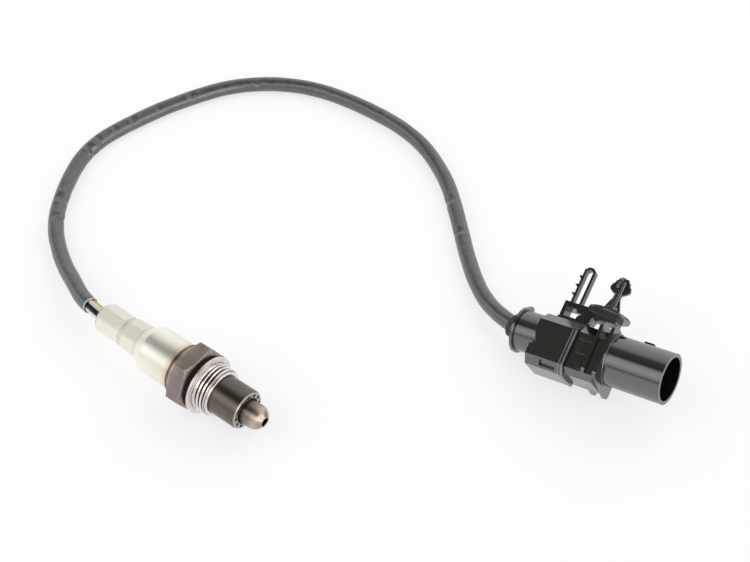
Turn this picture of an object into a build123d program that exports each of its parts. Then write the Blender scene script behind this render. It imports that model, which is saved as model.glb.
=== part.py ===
from build123d import *
import math
import os

# Wide-band oxygen sensor with its sheathed lead and round plug, lying on a flat surface.
# Millimetres. The origin is the centre of the sealing seat on the sensor's axis, +X runs
# along that axis to the tip, and +Z is up. One flat of the hexagon lies on the surface.

# Sizes of the threaded body
hex_across_flats = 22.0
hex_length = 6.95
hex_bevel_angle = 27.0
hex_face_radius = 10.2
collar_length = 2.0
weld_land_radius = 9.5
weld_land_length = 2.5
spigot_length = 4.5
thread_radius = 9.0
thread_length = 5.0
undercut_radius = 8.6
nose_length = 1.2
nose_chamfer = 0.6
body_bore_radius = 6.3
seat_depth = 2.0
passage_radius = 3.2
guard_pocket_floor = 2.5
gasket_thickness = 0.95
gasket_width = 1.75

# Sizes of the protection tubes
guard_radius = 7.3
guard_wall = 0.5
guard_length = 15.1
guard_shoulder = 0.6
guard_hole_count = 12
guard_hole_radius = 0.62
guard_hole_circle = 5.8
guard_hole_first_angle = 10.4
guard_hole_sides = 8
tip_radius = 4.5
tip_straight = 3.9
tip_taper_length = 2.5
tip_taper_radius = 3.6
tip_end_length = 1.4
tip_flat_radius = 1.9
tip_hole_radius = 1.45
inner_guard_radius = 3.6
inner_guard_wall = 0.3
inner_guard_length = 17.5
inner_hole_count = 6
inner_hole_width = 1.1
inner_hole_station = 6.5
inner_end_hole_width = 1.6

# Sizes of the element and of what holds it
element_width = 4.5
element_thickness = 1.6
element_tip = 17.0
element_rear = -34.0
lower_insulator_length = 6.0
packing_length = 3.5
upper_insulator_length = 10.5
holder_flange_length = 4.0
holder_flange_across = 15.0
holder_gap = 3.4
holder_across = 10.2
holder_sides = 8
contact_window_height = 3.0
contact_width = 0.8
contact_thickness = 0.25
contact_front = -27.0
crimp_width = 1.4
crimp_length = 1.9

# Sizes of the metal sleeve over the rear half
sleeve_radius = 9.0
sleeve_wall = 0.6
sleeve_straight = 13.8
sleeve_flare_length = 4.1
sleeve_mid_radius = 6.3
sleeve_mid_length = 7.6
sleeve_groove_radius = 5.35
sleeve_groove_length = 1.2
sleeve_rear_length = 10.9
sleeve_rim_length = 0.9
sleeve_rim_radius = 5.0
sleeve_tail_bore = 4.6
crimp_sides = 8
crimp_mid_across = 12.2
crimp_rear_across = 11.3

# Sizes of the lead
wire_radius = 0.9
wire_circle = 1.65
wire_sides = 6
lead_radius = 3.15
lead_sides = 8
lead_wall = 0.35
grommet_recess = 0.3
lead_mouth_edges = 3
bend_share = 0.45

# Sizes of the plug, measured from its mouth backwards
shroud_radius = 9.1
shroud_wall = 1.3
shroud_length = 21.5
socket_depth = 20.0
socket_land_length = 8.6
socket_deep_radius = 7.5
latch_nub_station = 11.9
latch_nub_width = 2.4
latch_nub_height = 0.7
plate_thickness = 1.3
plate_gap = 3.0
plate_flat_height = 9.5
plate_stud_reach = 10.4
plate_stud_foot = 8.0
plate_stud_drop = 8.5
plate_side_reach = 10.0
plate_lobe_reach = 12.4
plate_lobe_drop = 10.3
plate_corner = 2.2
mid_length = 6.5
mid_inset = 0.9
cover_length = 14.9
cover_flat_reach = 9.7
cover_flat_end = 3.8
cover_side_reach = 12.5
cover_side_top = 6.0
cover_side_bottom = 5.0
cover_belly_drop = 7.5
cover_stud_reach = 7.5
cover_wedge_length = 2.4
cover_slot_length = 6.1
cover_slot_rear = 5.6
cover_slot_width = 2.6
cover_slot_depth = 0.9
neck_radius = 7.5
neck_length = 8.6
rim_radius = 8.4
rim_thickness = 1.0
rim_point_reach = 9.2
cavity_width = 11.4
cavity_height = 9.4
neck_bore_radius = 5.2
seal_length = 4.4
gland_plug_length = 6.0
gland_collar_radius = 4.5
gland_reach = 3.4
gland_lean_side = -14.5
gland_lean_flat = 6.3
gland_bore_sides = 8
gland_bore_slack = 0.35
pin_width = 1.5
pin_thickness = 0.64
pin_pitch = 3.3
pin_row_offset = 2.2
pin_recess = 9.0
pin_crimp_width = 1.9
pin_crimp_length = 2.4
lock_width = 11.4
lock_height = 9.2
lock_thickness = 1.4
resistor_length = 5.0
resistor_width = 3.6
resistor_thickness = 1.1

# Sizes of the harness clip
boss_rear = 47.0
boss_length = 13.0
boss_width = 8.0
boss_height = 9.3
boss_slot_depth = 1.1
boss_slot_width = 4.0
clip_offset = -3.0
clip_width = 6.0
buckle_length = 6.4
buckle_height = 6.4
buckle_post = 1.5
buckle_sill = 0.8
buckle_lintel = 2.2
ladder_offset = -1.3
ladder_width = 2.6
ladder_length = 4.4
ladder_height = 14.3
ladder_rail = 1.0
ladder_tooth_pitch = 3.45
ladder_tooth_first = 3.1
ladder_tooth_count = 3
arm_length = 14.6
arm_thickness = 3.2
arm_foot_drop = 1.2
arm_foot_rear = 0.6
arm_top_rear = 2.0
clip_base_height = 1.6
clip_base_length = 6.0
clip_base_rise = 2.5
clip_base_step = 1.0
tongue_gap = 1.0
tongue_length = 4.0
umbrella_radius = 7.8
umbrella_thickness = 0.7
umbrella_station = 29.4
umbrella_height = 15.0
stud_base_radius = 3.0
stud_base_height = 2.5
stud_taper_height = 4.1
stud_neck_radius = 1.4
stud_height = 14.4
stud_fin_thickness = 1.1
stud_fin_reach = 4.0
stud_root_height = 8.0
stud_barb_height = 10.4
stud_barb_lip = 0.9
stud_tip_width = 3.2
stud_core_sides = 8

# How the plug lies, and the places that its lead passes on the way from the sensor
plug_mouth = (125.45, 93.3, 8.7)
plug_heading = 4.0
plug_rise = 11.3
plug_roll = 26.3
wire_exit_corner = (-53.6, 0, 0)
lead_points = [
    (-63.4, 1.4, -1.0), (-72.6, 5.6, -2.9), (-90, 13.8, -6.3), (-107.5, 26, -7.85),
    (-120, 44.2, -7.85), (-129.3, 65.5, -7.85), (-126, 89.2, -7.85), (-118.7, 112.7, -7.85),
    (-107.4, 134.9, -7.85), (-84.1, 151.7, -7.85), (-55, 156, -7.85), (-26.4, 154.2, -7.85),
    (-2.2, 141.4, -7.85), (14.5, 126, -7.85), (31.5, 109.2, -7.6), (45, 98, -6.6)]
lead_last_run = 9.0

# Rounds that nothing shows are drawn with this many sides, to keep the model light
hidden_sides = 24

# Running and assembly clearances
slip = 0.05
wire_slip = 0.05
gasket_slip = 0.15

# Stations and radii along the sensor's axis, worked out from the sizes above
gasket_rear = -gasket_thickness
gasket_bore = thread_radius + gasket_slip
gasket_radius = gasket_bore + gasket_width
hex_front = gasket_rear - collar_length
hex_rear = hex_front - hex_length
land_rear = hex_rear - weld_land_length
spigot_rear = land_rear - spigot_length
nose_front = thread_length + nose_length
packing_front = -seat_depth - lower_insulator_length
packing_rear = packing_front - packing_length
upper_insulator_rear = packing_rear - upper_insulator_length
flare_front = land_rear - sleeve_straight
flare_rear = flare_front - sleeve_flare_length
groove_front = flare_rear - sleeve_mid_length
groove_rear = groove_front - sleeve_groove_length
rim_front = groove_rear - sleeve_rear_length
holder_rear = groove_front + holder_gap
sleeve_end = rim_front - sleeve_rim_length
crimp_front = holder_rear - 0.5
wire_front = crimp_front - crimp_length
sleeve_bore = sleeve_radius - sleeve_wall
spigot_radius = sleeve_bore - slip
lead_bore = lead_radius - lead_wall


def turned(*corners):
    """Solid turned about the sensor's axis from (x, radius) corners."""
    return revolve(make_face(Polyline(*corners, close=True)), Axis.X)


def turned_ring(rear, front, outer, inner=0.0):
    """Plain ring or disc about the sensor's axis."""
    return turned((rear, inner), (rear, outer), (front, outer), (front, inner))


def prism(sides, across, rear, front):
    """Regular prism along the sensor's axis, with a face square to Z where it has one."""
    section = Plane.YZ.offset(rear) * RegularPolygon(across / 2, sides, major_radius=False)
    return extrude(section, front - rear)


def rod(radius, sides, y, z, rear, front):
    """Many-sided bar parallel to the sensor's axis."""
    section = Plane.YZ.offset(rear) * Pos(y, z) * RegularPolygon(radius, sides)
    return extrude(section, front - rear)


def hidden_bar(radius, rear, front):
    """Hidden round bar on the sensor's axis; its corners lie on the radius."""
    return rod(radius, hidden_sides, 0, 0, rear, front)


def hidden_bore(radius, rear, front):
    """Hidden round bore on the sensor's axis; its flats lie on the radius."""
    return prism(hidden_sides, 2 * radius, rear, front)


def bar(y, z, width, height, rear, front):
    """Rectangular bar parallel to the sensor's axis."""
    return extrude(Plane.YZ.offset(rear) * Pos(y, z) * Rectangle(width, height), front - rear)


def wire_seats():
    """The five (y, z) places of the wires, one of them at the top."""
    angles = [math.radians(90 + 72 * k) for k in range(5)]
    return [(wire_circle * math.cos(a), wire_circle * math.sin(a)) for a in angles]


# ---------------------------------------------------------------- threaded body

def hex_housing():
    outside = turned(
        (land_rear, 0), (land_rear, weld_land_radius), (hex_front, weld_land_radius),
        (hex_front, hex_face_radius), (gasket_rear, hex_face_radius), (gasket_rear, 0))
    thread = turned(
        (0, 0), (0, thread_radius), (nose_front - nose_chamfer, thread_radius),
        (nose_front, thread_radius - nose_chamfer), (nose_front, 0))
    corner_radius = hex_across_flats / math.sqrt(3)
    bevel = (corner_radius - hex_face_radius) * math.tan(math.radians(hex_bevel_angle))
    bevel_limit = turned(
        (hex_rear, 0), (hex_rear, hex_face_radius), (hex_rear + bevel, corner_radius),
        (hex_front - bevel, corner_radius), (hex_front, hex_face_radius), (hex_front, 0))
    hexagon = prism(6, hex_across_flats, hex_rear, hex_front) & bevel_limit
    body = outside + thread + hexagon
    body += hidden_bar(spigot_radius, spigot_rear, land_rear)
    body += hidden_bar(undercut_radius, gasket_rear, 0)
    body -= hidden_bore(guard_radius + slip, guard_pocket_floor, nose_front)
    body -= hidden_bore(passage_radius, -seat_depth, guard_pocket_floor)
    return body - hidden_bore(body_bore_radius, spigot_rear, -seat_depth)


def seat_gasket():
    return turned_ring(gasket_rear, 0, gasket_radius, gasket_bore)


# ------------------------------------------------------------- protection tubes

def outer_guard_tube():
    """Drawn cup: wide barrel, pierced front face, and a tapered tip with a hole in its end."""
    front = guard_pocket_floor + guard_length
    taper_start = front + tip_straight
    taper_end = taper_start + tip_taper_length
    end = taper_end + tip_end_length
    shell = turned(
        (guard_pocket_floor, 0), (guard_pocket_floor, guard_radius), (front - guard_shoulder, guard_radius),
        (front, guard_radius - guard_shoulder), (front, tip_radius), (taper_start, tip_radius),
        (taper_end, tip_taper_radius), (end, tip_flat_radius), (end, 0))
    shell -= turned_ring(end - guard_wall, end, tip_hole_radius)
    shell -= hidden_bore(guard_radius - guard_wall, guard_pocket_floor, front - guard_wall)
    shell -= hidden_bore(tip_radius - guard_wall, front - guard_wall, taper_start)
    shell -= hidden_bore(tip_taper_radius - guard_wall, taper_start, taper_end)
    shell -= hidden_bore(tip_flat_radius, taper_end, end - guard_wall)
    for k in range(guard_hole_count):
        angle = math.radians(guard_hole_first_angle + 360 / guard_hole_count * k)
        y, z = guard_hole_circle * math.sin(angle), guard_hole_circle * math.cos(angle)
        shell -= rod(guard_hole_radius, guard_hole_sides, y, z, front - 2 * guard_wall, front)
    return shell


def inner_guard_tube():
    """Inner cup with a closed, pierced end, standing on the body's floor inside the outer one."""
    end = guard_pocket_floor + inner_guard_length
    tube = hidden_bar(inner_guard_radius, guard_pocket_floor, end)
    tube -= hidden_bar(inner_guard_radius - inner_guard_wall, guard_pocket_floor, end - inner_guard_wall)
    tube -= prism(6, inner_end_hole_width, end - 2 * inner_guard_wall, end)
    hole = extrude(RegularPolygon(inner_hole_width / 2, 4), 2 * inner_guard_radius, both=True)
    for k in range(inner_hole_count // 2):
        turn = Rot(360 / inner_hole_count * k, 0, 0)
        tube -= Pos(guard_pocket_floor + inner_hole_station, 0, 0) * turn * hole
    return tube


# ------------------------------------------------- element, insulators, contacts

def sensing_element():
    return bar(0, 0, element_width, element_thickness, element_rear, element_tip)


def element_slot(rear, front):
    """Slot that the element passes through in each insulator."""
    return bar(0, 0, element_width + 2 * slip, element_thickness + 2 * slip, rear, front)


def insulator(rear, front):
    """Ceramic cylinder in the body's bore, with the element's slot through it."""
    return hidden_bar(body_bore_radius - slip, rear, front) - element_slot(rear, front)


def contact_holder():
    front = upper_insulator_rear
    flange_rear = front - holder_flange_length
    body = prism(holder_sides, holder_flange_across, flange_rear, front)
    body += prism(holder_sides, holder_across, holder_rear, flange_rear)
    window = bar(0, 0, element_width + 4 * slip, contact_window_height, holder_rear, contact_front + 1.5)
    return body - window - element_slot(contact_front, front)


def contact_springs():
    """Five strip contacts lying on the element, each with a box crimp for its wire."""
    contacts = []
    for y, z in wire_seats():
        side = math.copysign(1, z)
        middle = side * (element_thickness + contact_thickness) / 2
        strip = bar(y, middle, contact_width, contact_thickness, crimp_front - contact_thickness,
                    contact_front)
        riser = bar(y, (middle + z) / 2, contact_width, abs(z - middle), crimp_front - contact_thickness,
                    crimp_front)
        crimp = bar(y, z, crimp_width, crimp_width, wire_front, crimp_front)
        contacts.append(strip + riser + crimp)
    return contacts


# ----------------------------------------------------------- sleeve and grommet

def body_sleeve():
    """Drawn sleeve: a wide barrel, a flare, and two crimped lengths with a groove between them."""
    mid_bore = sleeve_mid_radius - sleeve_wall
    barrel_part = turned(
        (land_rear, 0), (land_rear, sleeve_radius), (flare_front, sleeve_radius),
        (flare_rear, sleeve_mid_radius), (flare_rear, 0))
    groove = turned_ring(groove_rear, groove_front, sleeve_groove_radius)
    tail = turned(
        (rim_front, 0), (rim_front, crimp_rear_across / 2), (sleeve_end, sleeve_rim_radius), (sleeve_end, 0))
    shell = barrel_part + prism(crimp_sides, crimp_mid_across, groove_front, flare_rear) + groove
    shell += prism(crimp_sides, crimp_rear_across, rim_front, groove_rear) + tail
    flare_middle = (flare_front + flare_rear) / 2
    shell -= hidden_bore(sleeve_bore, flare_front, land_rear)
    shell -= hidden_bore((sleeve_bore + mid_bore) / 2, flare_middle, flare_front)
    shell -= hidden_bore(mid_bore, groove_front + sleeve_wall, flare_middle)
    return shell - hidden_bore(sleeve_tail_bore, sleeve_end, groove_front + sleeve_wall)


def cable_grommet():
    """Rubber grommet held in the sleeve's tail, with a hole for each wire."""
    rear, front = sleeve_end + grommet_recess, groove_front + sleeve_wall
    body = hidden_bar(sleeve_tail_bore - slip, rear, front)
    for y, z in wire_seats():
        body -= rod(wire_radius + wire_slip, wire_sides, y, z, rear, front)
    return body


# ------------------------------------------------------------------------- lead

def corner_radius(before, corner, after):
    """Radius of the arc at one point of the lead's route."""
    run_in, run_out = Vector(*corner) - Vector(*before), Vector(*after) - Vector(*corner)
    half_turn = math.radians(run_in.get_angle(run_out)) / 2
    return bend_share * min(run_in.length, run_out.length) / math.tan(half_turn)


def lead_route():
    """Edges of the route: wires straight out of the sensor, then one bend, then the lead."""
    rim = plug_point(0, 0, rim_rear)
    end = plug_point(*gland_point(gland_reach))
    last = plug_point(*gland_point(gland_reach + lead_last_run))
    points = [Vector(wire_front, 0, 0), Vector(*wire_exit_corner)]
    points += [Vector(*p) for p in lead_points] + [last, end]
    radii = [corner_radius(*points[k - 1:k + 2]) for k in range(1, len(points) - 1)]
    exit_turn = math.radians((points[1] - points[0]).get_angle(points[2] - points[1]))
    radii[0] = (sleeve_end - points[1].X) / math.tan(exit_turn / 2)
    return FilletPolyline(*points, radius=radii).order_edges(), radii


def lead_sleeve():
    """Sheath of the lead, from just behind the sensor to the plug's gland, open where the wires go in."""
    edges, radii = lead_route()
    path = Wire(edges[2:])
    print("lead length", round(path.length, 1), "radii", [round(r, 1) for r in radii[1:]])
    start = Plane(origin=path @ 0, z_dir=path % 0)
    mouth = sweep(start * RegularPolygon(lead_bore, lead_sides), path=Wire(edges[2:lead_mouth_edges]))
    return sweep(start * RegularPolygon(lead_radius, lead_sides), path=path) - mouth


def wire(seat, pin):
    """One wire: its run from the contact into the sheath, and its run from the gland to its pin."""
    edges, _ = lead_route()
    y, z = wire_seats()[seat]
    section = RegularPolygon(wire_radius, wire_sides)
    start = Plane.YZ.offset(wire_front) * Pos(y, z)
    sensor_run = sweep(start * section, path=Wire(edges[:lead_mouth_edges]))
    side, flat = pin_places()[pin]
    corners = [
        Vector(y, z, 0) + Vector(*gland_point(gland_reach - wire_radius)), (y, z, rim_rear),
        (y, z, rim_rear + gland_plug_length), (side, flat, seal_rear - 2 * wire_radius),
        (side, flat, crimp_rear)]
    path = Polyline(*corners)
    start = Plane(origin=path @ 0, z_dir=path % 0)
    plug_run = sweep(start * section, path=path, transition=Transition.RIGHT)
    return [sensor_run, plug_pose * plug_run]


# ------------------------------------------------------------------------- plug
# The plug is drawn in its own frame: Z runs to its mouth, X to the clip's side and Y to its flat face.

mouth_bore = shroud_radius - shroud_wall
front_plate_front = -shroud_length
front_plate_rear = front_plate_front - plate_thickness
rear_plate_front = front_plate_rear - plate_gap
rear_plate_rear = rear_plate_front - plate_thickness
cover_front = rear_plate_rear - mid_length
cover_rear = cover_front - cover_length
neck_rear = cover_rear - neck_length
rim_rear = neck_rear - rim_thickness
carrier_front = -socket_depth
crimp_rear = cover_front + wire_slip
blade_rear = crimp_rear + pin_crimp_length
seal_rear = cover_front - seal_length
plug_pose = (Pos(*plug_mouth) * Rot(0, 0, plug_heading) * Rot(0, -plug_rise, 0)
             * Rot(plug_roll, 0, 0) * Plane.YZ.location)


def plug_point(side, flat, along):
    """Place in the part's frame of a point given in the plug's."""
    return (plug_pose * Pos(side, flat, along)).position


def gland_point(reach):
    """Point on the leaning line that the lead follows into the plug, behind its rim."""
    slope_side = math.tan(math.radians(gland_lean_side))
    slope_flat = math.tan(math.radians(gland_lean_flat))
    drop = reach / math.sqrt(1 + slope_side ** 2 + slope_flat ** 2)
    return (-drop * slope_side, -drop * slope_flat, rim_rear - drop)


def pin_places():
    """The six (side, flat) places of the pins, the last one without a wire."""
    top = [(side * pin_pitch, pin_row_offset) for side in (0, -1, 1)]
    return top + [(side * pin_pitch, -pin_row_offset) for side in (-1, 1, 0)]


def slab(outline, rear, front):
    """Flat-sided piece of the plug between two stations."""
    return extrude(Pos(0, 0, rear) * outline, front - rear)


def barrel(radius, rear, front, side=0.0, flat=0.0):
    """Round bar or hole of the plug between two stations."""
    return slab(Pos(side, flat) * Circle(radius), rear, front)


def cavity(rear, front, clearance=0.0):
    """The straight-sided space that the seal and the pin carrier fill, or one of those two."""
    return slab(Rectangle(cavity_width - 2 * clearance, cavity_height - 2 * clearance), rear, front)


def plate_outline():
    """One location plate: square to the flat face, leaning out to a lobe below."""
    corners = make_face(Polyline(
        (plate_stud_reach, plate_flat_height), (-plate_side_reach, plate_flat_height),
        (-plate_lobe_reach, -plate_lobe_drop), (plate_stud_foot, -plate_stud_drop), close=True))
    return fillet(corners.vertices(), plate_corner)


def cover_outline(inset=0.0):
    """Section of the rear cover: flat top, bevelled near side, rounded belly."""
    top, side = plate_flat_height - inset, cover_side_reach - inset
    belly, stud = cover_belly_drop - inset, cover_stud_reach
    return make_face(Polyline(
        (cover_flat_end, top), (-cover_flat_reach, top), (-side, cover_side_top),
        (-side, -cover_side_bottom), (-cover_flat_reach + 2, -belly), (stud - 2, -belly - 0.5),
        (stud, -cover_side_bottom), (stud, cover_side_bottom), close=True))


def connector_housing():
    body = barrel(shroud_radius, front_plate_front, 0)
    body += slab(plate_outline(), front_plate_rear, front_plate_front)
    body += slab(plate_outline(), rear_plate_rear, rear_plate_front)
    body += slab(cover_outline(mid_inset), cover_front, front_plate_rear)
    body += middle_ribs()
    body += latch_nub()
    deep_bore = RegularPolygon(socket_deep_radius, hidden_sides, major_radius=False)
    body -= barrel(mouth_bore, -socket_land_length, 0)
    body -= slab(deep_bore, carrier_front, -socket_land_length)
    return body - cavity(cover_front, carrier_front)


def latch_nub():
    """Ramp on the shroud that the mating plug's latch snaps over."""
    station, width = -latch_nub_station, latch_nub_width
    ramp = make_face(Polyline(
        (station - width / 2, -shroud_wall / 2), (station - width / 2, latch_nub_height),
        (station + width / 4, latch_nub_height), (station + width, -shroud_wall / 2), close=True))
    side = Plane((shroud_radius, 0, 0), x_dir=(0, 0, 1), z_dir=(0, -1, 0))
    return extrude(side * ramp, width / 2, both=True)


def middle_ribs():
    """Raised pads between the rear plate and the cover, as the tool leaves them."""
    pads = [(2.4, 2.4, 5.0), (-2.2, 3.1, 4.5), (-7.8, 2.6, 1.4)]
    top = plate_flat_height - mid_inset
    return [slab(Pos(side, top) * Rectangle(width, mid_inset), rear_plate_rear - length, rear_plate_rear)
            for side, width, length in pads]


def rear_cover():
    body = slab(cover_outline(), cover_rear, cover_front)
    body += barrel(neck_radius, neck_rear, cover_rear)
    body += rim()
    body += seat_boss()
    wedge = make_face(Polyline(
        (cover_rear, cover_flat_end + 2), (cover_rear, cover_flat_end - 3),
        (cover_rear + cover_wedge_length, cover_flat_end + 2), close=True))
    wedge_plane = Plane((0, plate_flat_height, 0), x_dir=(0, 0, 1), z_dir=(0, -1, 0))
    body -= extrude(wedge_plane * wedge, cover_slot_depth * 2)
    body -= side_slot()
    body -= cavity(seal_rear, cover_front)
    neck_bore = RegularPolygon(neck_bore_radius, hidden_sides, major_radius=False)
    return body - slab(neck_bore, rim_rear, seal_rear)


def rim():
    """Thin disc behind the neck, drawn out to a blunt point on the clip's side."""
    disc = Circle(rim_radius)
    point = make_face(Polyline(
        (rim_point_reach, 0.9), (rim_radius * 0.75, rim_radius * 0.66),
        (rim_radius * 0.75, -rim_radius * 0.66), (rim_point_reach, -0.9), close=True))
    return slab(disc + point, rim_rear, neck_rear)


def side_slot():
    """Long pocket in the bevel between the flat face and the near side."""
    run, drop = cover_side_reach - cover_flat_reach, plate_flat_height - cover_side_top
    centre = (-(cover_side_reach + cover_flat_reach) / 2, (plate_flat_height + cover_side_top) / 2,
              cover_rear + cover_slot_rear + cover_slot_length / 2)
    bevel = Plane(centre, x_dir=(0, 0, 1), z_dir=(-drop, run, 0))
    return extrude(bevel * Rectangle(cover_slot_length, cover_slot_width), -cover_slot_depth)


def seat_boss():
    """Boss on the cover that carries the harness clip, with a slot for its tongue."""
    front = -boss_rear + boss_length
    root = cover_stud_reach / 2
    body = Pos((boss_height + root) / 2, clip_offset) * Rectangle(boss_height - root, boss_width)
    slot = Pos(boss_height - boss_slot_depth / 2, clip_offset) * Rectangle(boss_slot_depth, boss_slot_width)
    return slab(body, -boss_rear, front) - slab(slot, -boss_rear + buckle_post, front - buckle_post)


def cable_gland():
    """Rubber plug in the neck with a soft collar that leans with the lead."""
    plug_front = rim_rear + gland_plug_length
    body = slab(RegularPolygon(neck_bore_radius - slip, hidden_sides), rim_rear, plug_front)
    bore = RegularPolygon(wire_circle + wire_radius + gland_bore_slack, gland_bore_sides)
    lean = Vector(0, 0, rim_rear) - Vector(*gland_point(gland_reach))
    tail = Plane(origin=gland_point(gland_reach), z_dir=lean)
    collar = extrude(tail * Circle(gland_collar_radius), gland_reach + 1)
    body += collar - barrel(2 * gland_collar_radius, rim_rear, plug_front)
    body -= extrude(tail * bore, gland_reach + 1)
    return body - slab(bore, rim_rear, plug_front)


def wire_seal():
    """Rubber seal behind the pins, with a hole for each wire."""
    body = cavity(seal_rear, cover_front, slip)
    hole = RegularPolygon(wire_radius + wire_slip, wire_sides)
    for side, flat in pin_places()[:5]:
        body -= slab(Pos(side, flat) * hole, seal_rear, cover_front)
    return body


def pin_slots(rear, front):
    """Six slots that the pins' blades pass through."""
    slot = Rectangle(pin_width + 2 * slip, pin_thickness + 2 * slip)
    return [slab(Pos(side, flat) * slot, rear, front) for side, flat in pin_places()]


def pin_carrier():
    """Insulating core of the plug, with a cavity for each pin and a pocket for the resistor."""
    body = cavity(cover_front, carrier_front, slip) - pin_slots(cover_front, carrier_front)
    crimp = Rectangle(pin_crimp_width + 2 * slip, pin_crimp_width + 2 * slip)
    for side, flat in pin_places():
        body -= slab(Pos(side, flat) * crimp, cover_front, blade_rear + slip)
    pocket = Rectangle(resistor_width + 2 * slip, resistor_thickness + 2 * slip)
    return body - slab(pocket, cover_front, cover_front + resistor_length + slip)


def contact_pins():
    """Six flat pins, each with the box crimp that grips its wire."""
    pins = []
    for side, flat in pin_places():
        blade = slab(Pos(side, flat) * Rectangle(pin_width, pin_thickness), blade_rear, -pin_recess)
        crimp = slab(Pos(side, flat) * Rectangle(pin_crimp_width, pin_crimp_width), crimp_rear, blade_rear)
        pins.append(blade + crimp)
    return pins


def secondary_lock():
    """Plate on the socket's floor that keeps the pins in line."""
    front = carrier_front + lock_thickness
    return slab(Rectangle(lock_width, lock_height), carrier_front, front) - pin_slots(carrier_front, front)


def trim_resistor():
    chip = Rectangle(resistor_width, resistor_thickness)
    return slab(chip, cover_front + slip, cover_front + resistor_length)


# ----------------------------------------------------------------- harness clip

def side_view(points, width, offset=clip_offset):
    """Piece of the clip drawn from its side as (height, along) corners, centred on one flat station."""
    outline = Plane.XZ * make_face(Polyline(*points, close=True))
    return Pos(0, offset, 0) * extrude(outline, width / 2, both=True)


def harness_clip():
    rear = -boss_rear
    front = rear + buckle_length
    sill, top = boss_height, boss_height + buckle_height
    window_top = top - buckle_lintel
    buckle = side_view([(sill, rear), (top, rear), (top, front), (sill, front)], clip_width)
    buckle -= side_view([(sill + buckle_sill, rear + buckle_post), (window_top, rear + buckle_post),
                         (window_top, front), (sill + buckle_sill, front)], 2 * clip_width)
    arm = side_view([(window_top - arm_foot_drop, front - arm_foot_rear), (top, front - arm_top_rear),
                     (top, front + arm_length), (top - arm_thickness, front + arm_length)], clip_width)
    base = side_view([(sill, front), (sill + clip_base_height, front), (window_top, front + clip_base_rise),
                      (window_top, front + clip_base_length),
                      (sill, front + clip_base_length - clip_base_step)], clip_width)
    tongue_rear, tongue_front = rear + buckle_post + tongue_gap, front + tongue_length
    tongue_floor = sill - boss_slot_depth + slip
    tongue = side_view([(tongue_floor, tongue_rear), (sill, tongue_rear), (sill, tongue_front),
                        (tongue_floor, tongue_front)], boss_slot_width - 2 * slip)
    return buckle + arm + base + tongue + ladder(top, rear + 1.9) + umbrella() + stud()


def ladder(foot, rear):
    """Looped strap with three teeth on its rear rail."""
    end = foot + ladder_height
    strap = ladder_loop(foot - 0.5, end, rear, 0, ladder_width)
    strap -= ladder_loop(foot, end, rear, ladder_rail, 2 * ladder_width)
    for k in range(ladder_tooth_count):
        height = foot + ladder_tooth_first + ladder_tooth_pitch * k
        tooth = [(height - 0.9, rear + 0.2), (height + 0.4, rear - 1.3), (height + 0.6, rear + 0.2)]
        strap += side_view(tooth, ladder_width, ladder_offset)
    return strap


def ladder_loop(foot, end, rear, inset, width):
    """Long bar with its free end broken to a half octagon."""
    low, high = rear + inset, rear + ladder_length - inset
    corner = (high - low) * (1 - math.sqrt(0.5))
    crown = end - inset
    return side_view([(foot, low), (crown - corner, low), (crown, low + corner), (crown, high - corner),
                      (crown - corner, high), (foot, high)], width, ladder_offset)


def umbrella():
    """Thin disc that presses on the panel."""
    section = Plane.YZ.offset(umbrella_height - umbrella_thickness / 2) * Circle(umbrella_radius)
    return Pos(0, 0, -umbrella_station) * extrude(section, umbrella_thickness)


def stud():
    """Push-in stud: two crossed fins on a core, wide at the foot, then necked, then barbed."""
    foot = umbrella_height
    taper = foot + stud_base_height
    neck, root = taper + stud_taper_height, foot + stud_root_height
    barb, tip = foot + stud_barb_height, foot + stud_height
    edge = [(foot, stud_base_radius), (taper, stud_base_radius), (neck, stud_neck_radius),
            (root, stud_neck_radius), (barb - stud_barb_lip, stud_fin_reach - stud_barb_lip / 3),
            (barb, stud_fin_reach), (tip, stud_tip_width / 2)]
    outline = Polyline(*edge, *[(height, -reach) for height, reach in reversed(edge)], close=True)
    fin = extrude(make_face(Plane.XZ * outline), stud_fin_thickness / 2, both=True)
    core = extrude(Plane.YZ.offset(foot) * RegularPolygon(stud_neck_radius, stud_core_sides),
                   stud_height - stud_neck_radius)
    return Pos(0, 0, -umbrella_station) * (core + fin + Rot(90, 0, 0) * fin)


# ------------------------------------------------------------------ all of them

def build_all():
    wires = {name: wire(seat, pin) for name, seat, pin in
             (("wire_grey", 0, 0), ("wire_black", 1, 1), ("wire_white", 2, 3),
              ("wire_red", 3, 4), ("wire_yellow", 4, 2))}
    plug = {
        "connector_housing": connector_housing(), "rear_cover": rear_cover(),
        "cable_gland": cable_gland(), "wire_seal": wire_seal(), "pin_carrier": pin_carrier(),
        "contact_pins": contact_pins(), "secondary_lock": secondary_lock(),
        "trim_resistor": trim_resistor(), "harness_clip": harness_clip()}
    return {
        "hex_housing": hex_housing(),
        "seat_gasket": seat_gasket(),
        "outer_guard_tube": outer_guard_tube(),
        "inner_guard_tube": inner_guard_tube(),
        "sensing_element": sensing_element(),
        "lower_insulator": insulator(packing_front, -seat_depth),
        "seal_packing": insulator(packing_rear, packing_front),
        "upper_insulator": insulator(upper_insulator_rear, packing_rear),
        "contact_holder": contact_holder(),
        "contact_springs": contact_springs(),
        "body_sleeve": body_sleeve(),
        "cable_grommet": cable_grommet(),
        "cable_sleeve": lead_sleeve(),
        **wires,
        **{name: placed(shape) for name, shape in plug.items()},
    }


def placed(shape):
    """Plug piece, or list of pieces, moved from the plug's frame to the part's."""
    if isinstance(shape, list):
        return [plug_pose * solid for solid in shape]
    return plug_pose * shape


if __name__ == "__main__":
    os.makedirs("parts", exist_ok=True)
    for name, shape in build_all().items():
        solids = Compound(shape) if isinstance(shape, list) else shape
        export_step(solids, f"parts/{name}.step")
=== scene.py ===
import math

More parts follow.
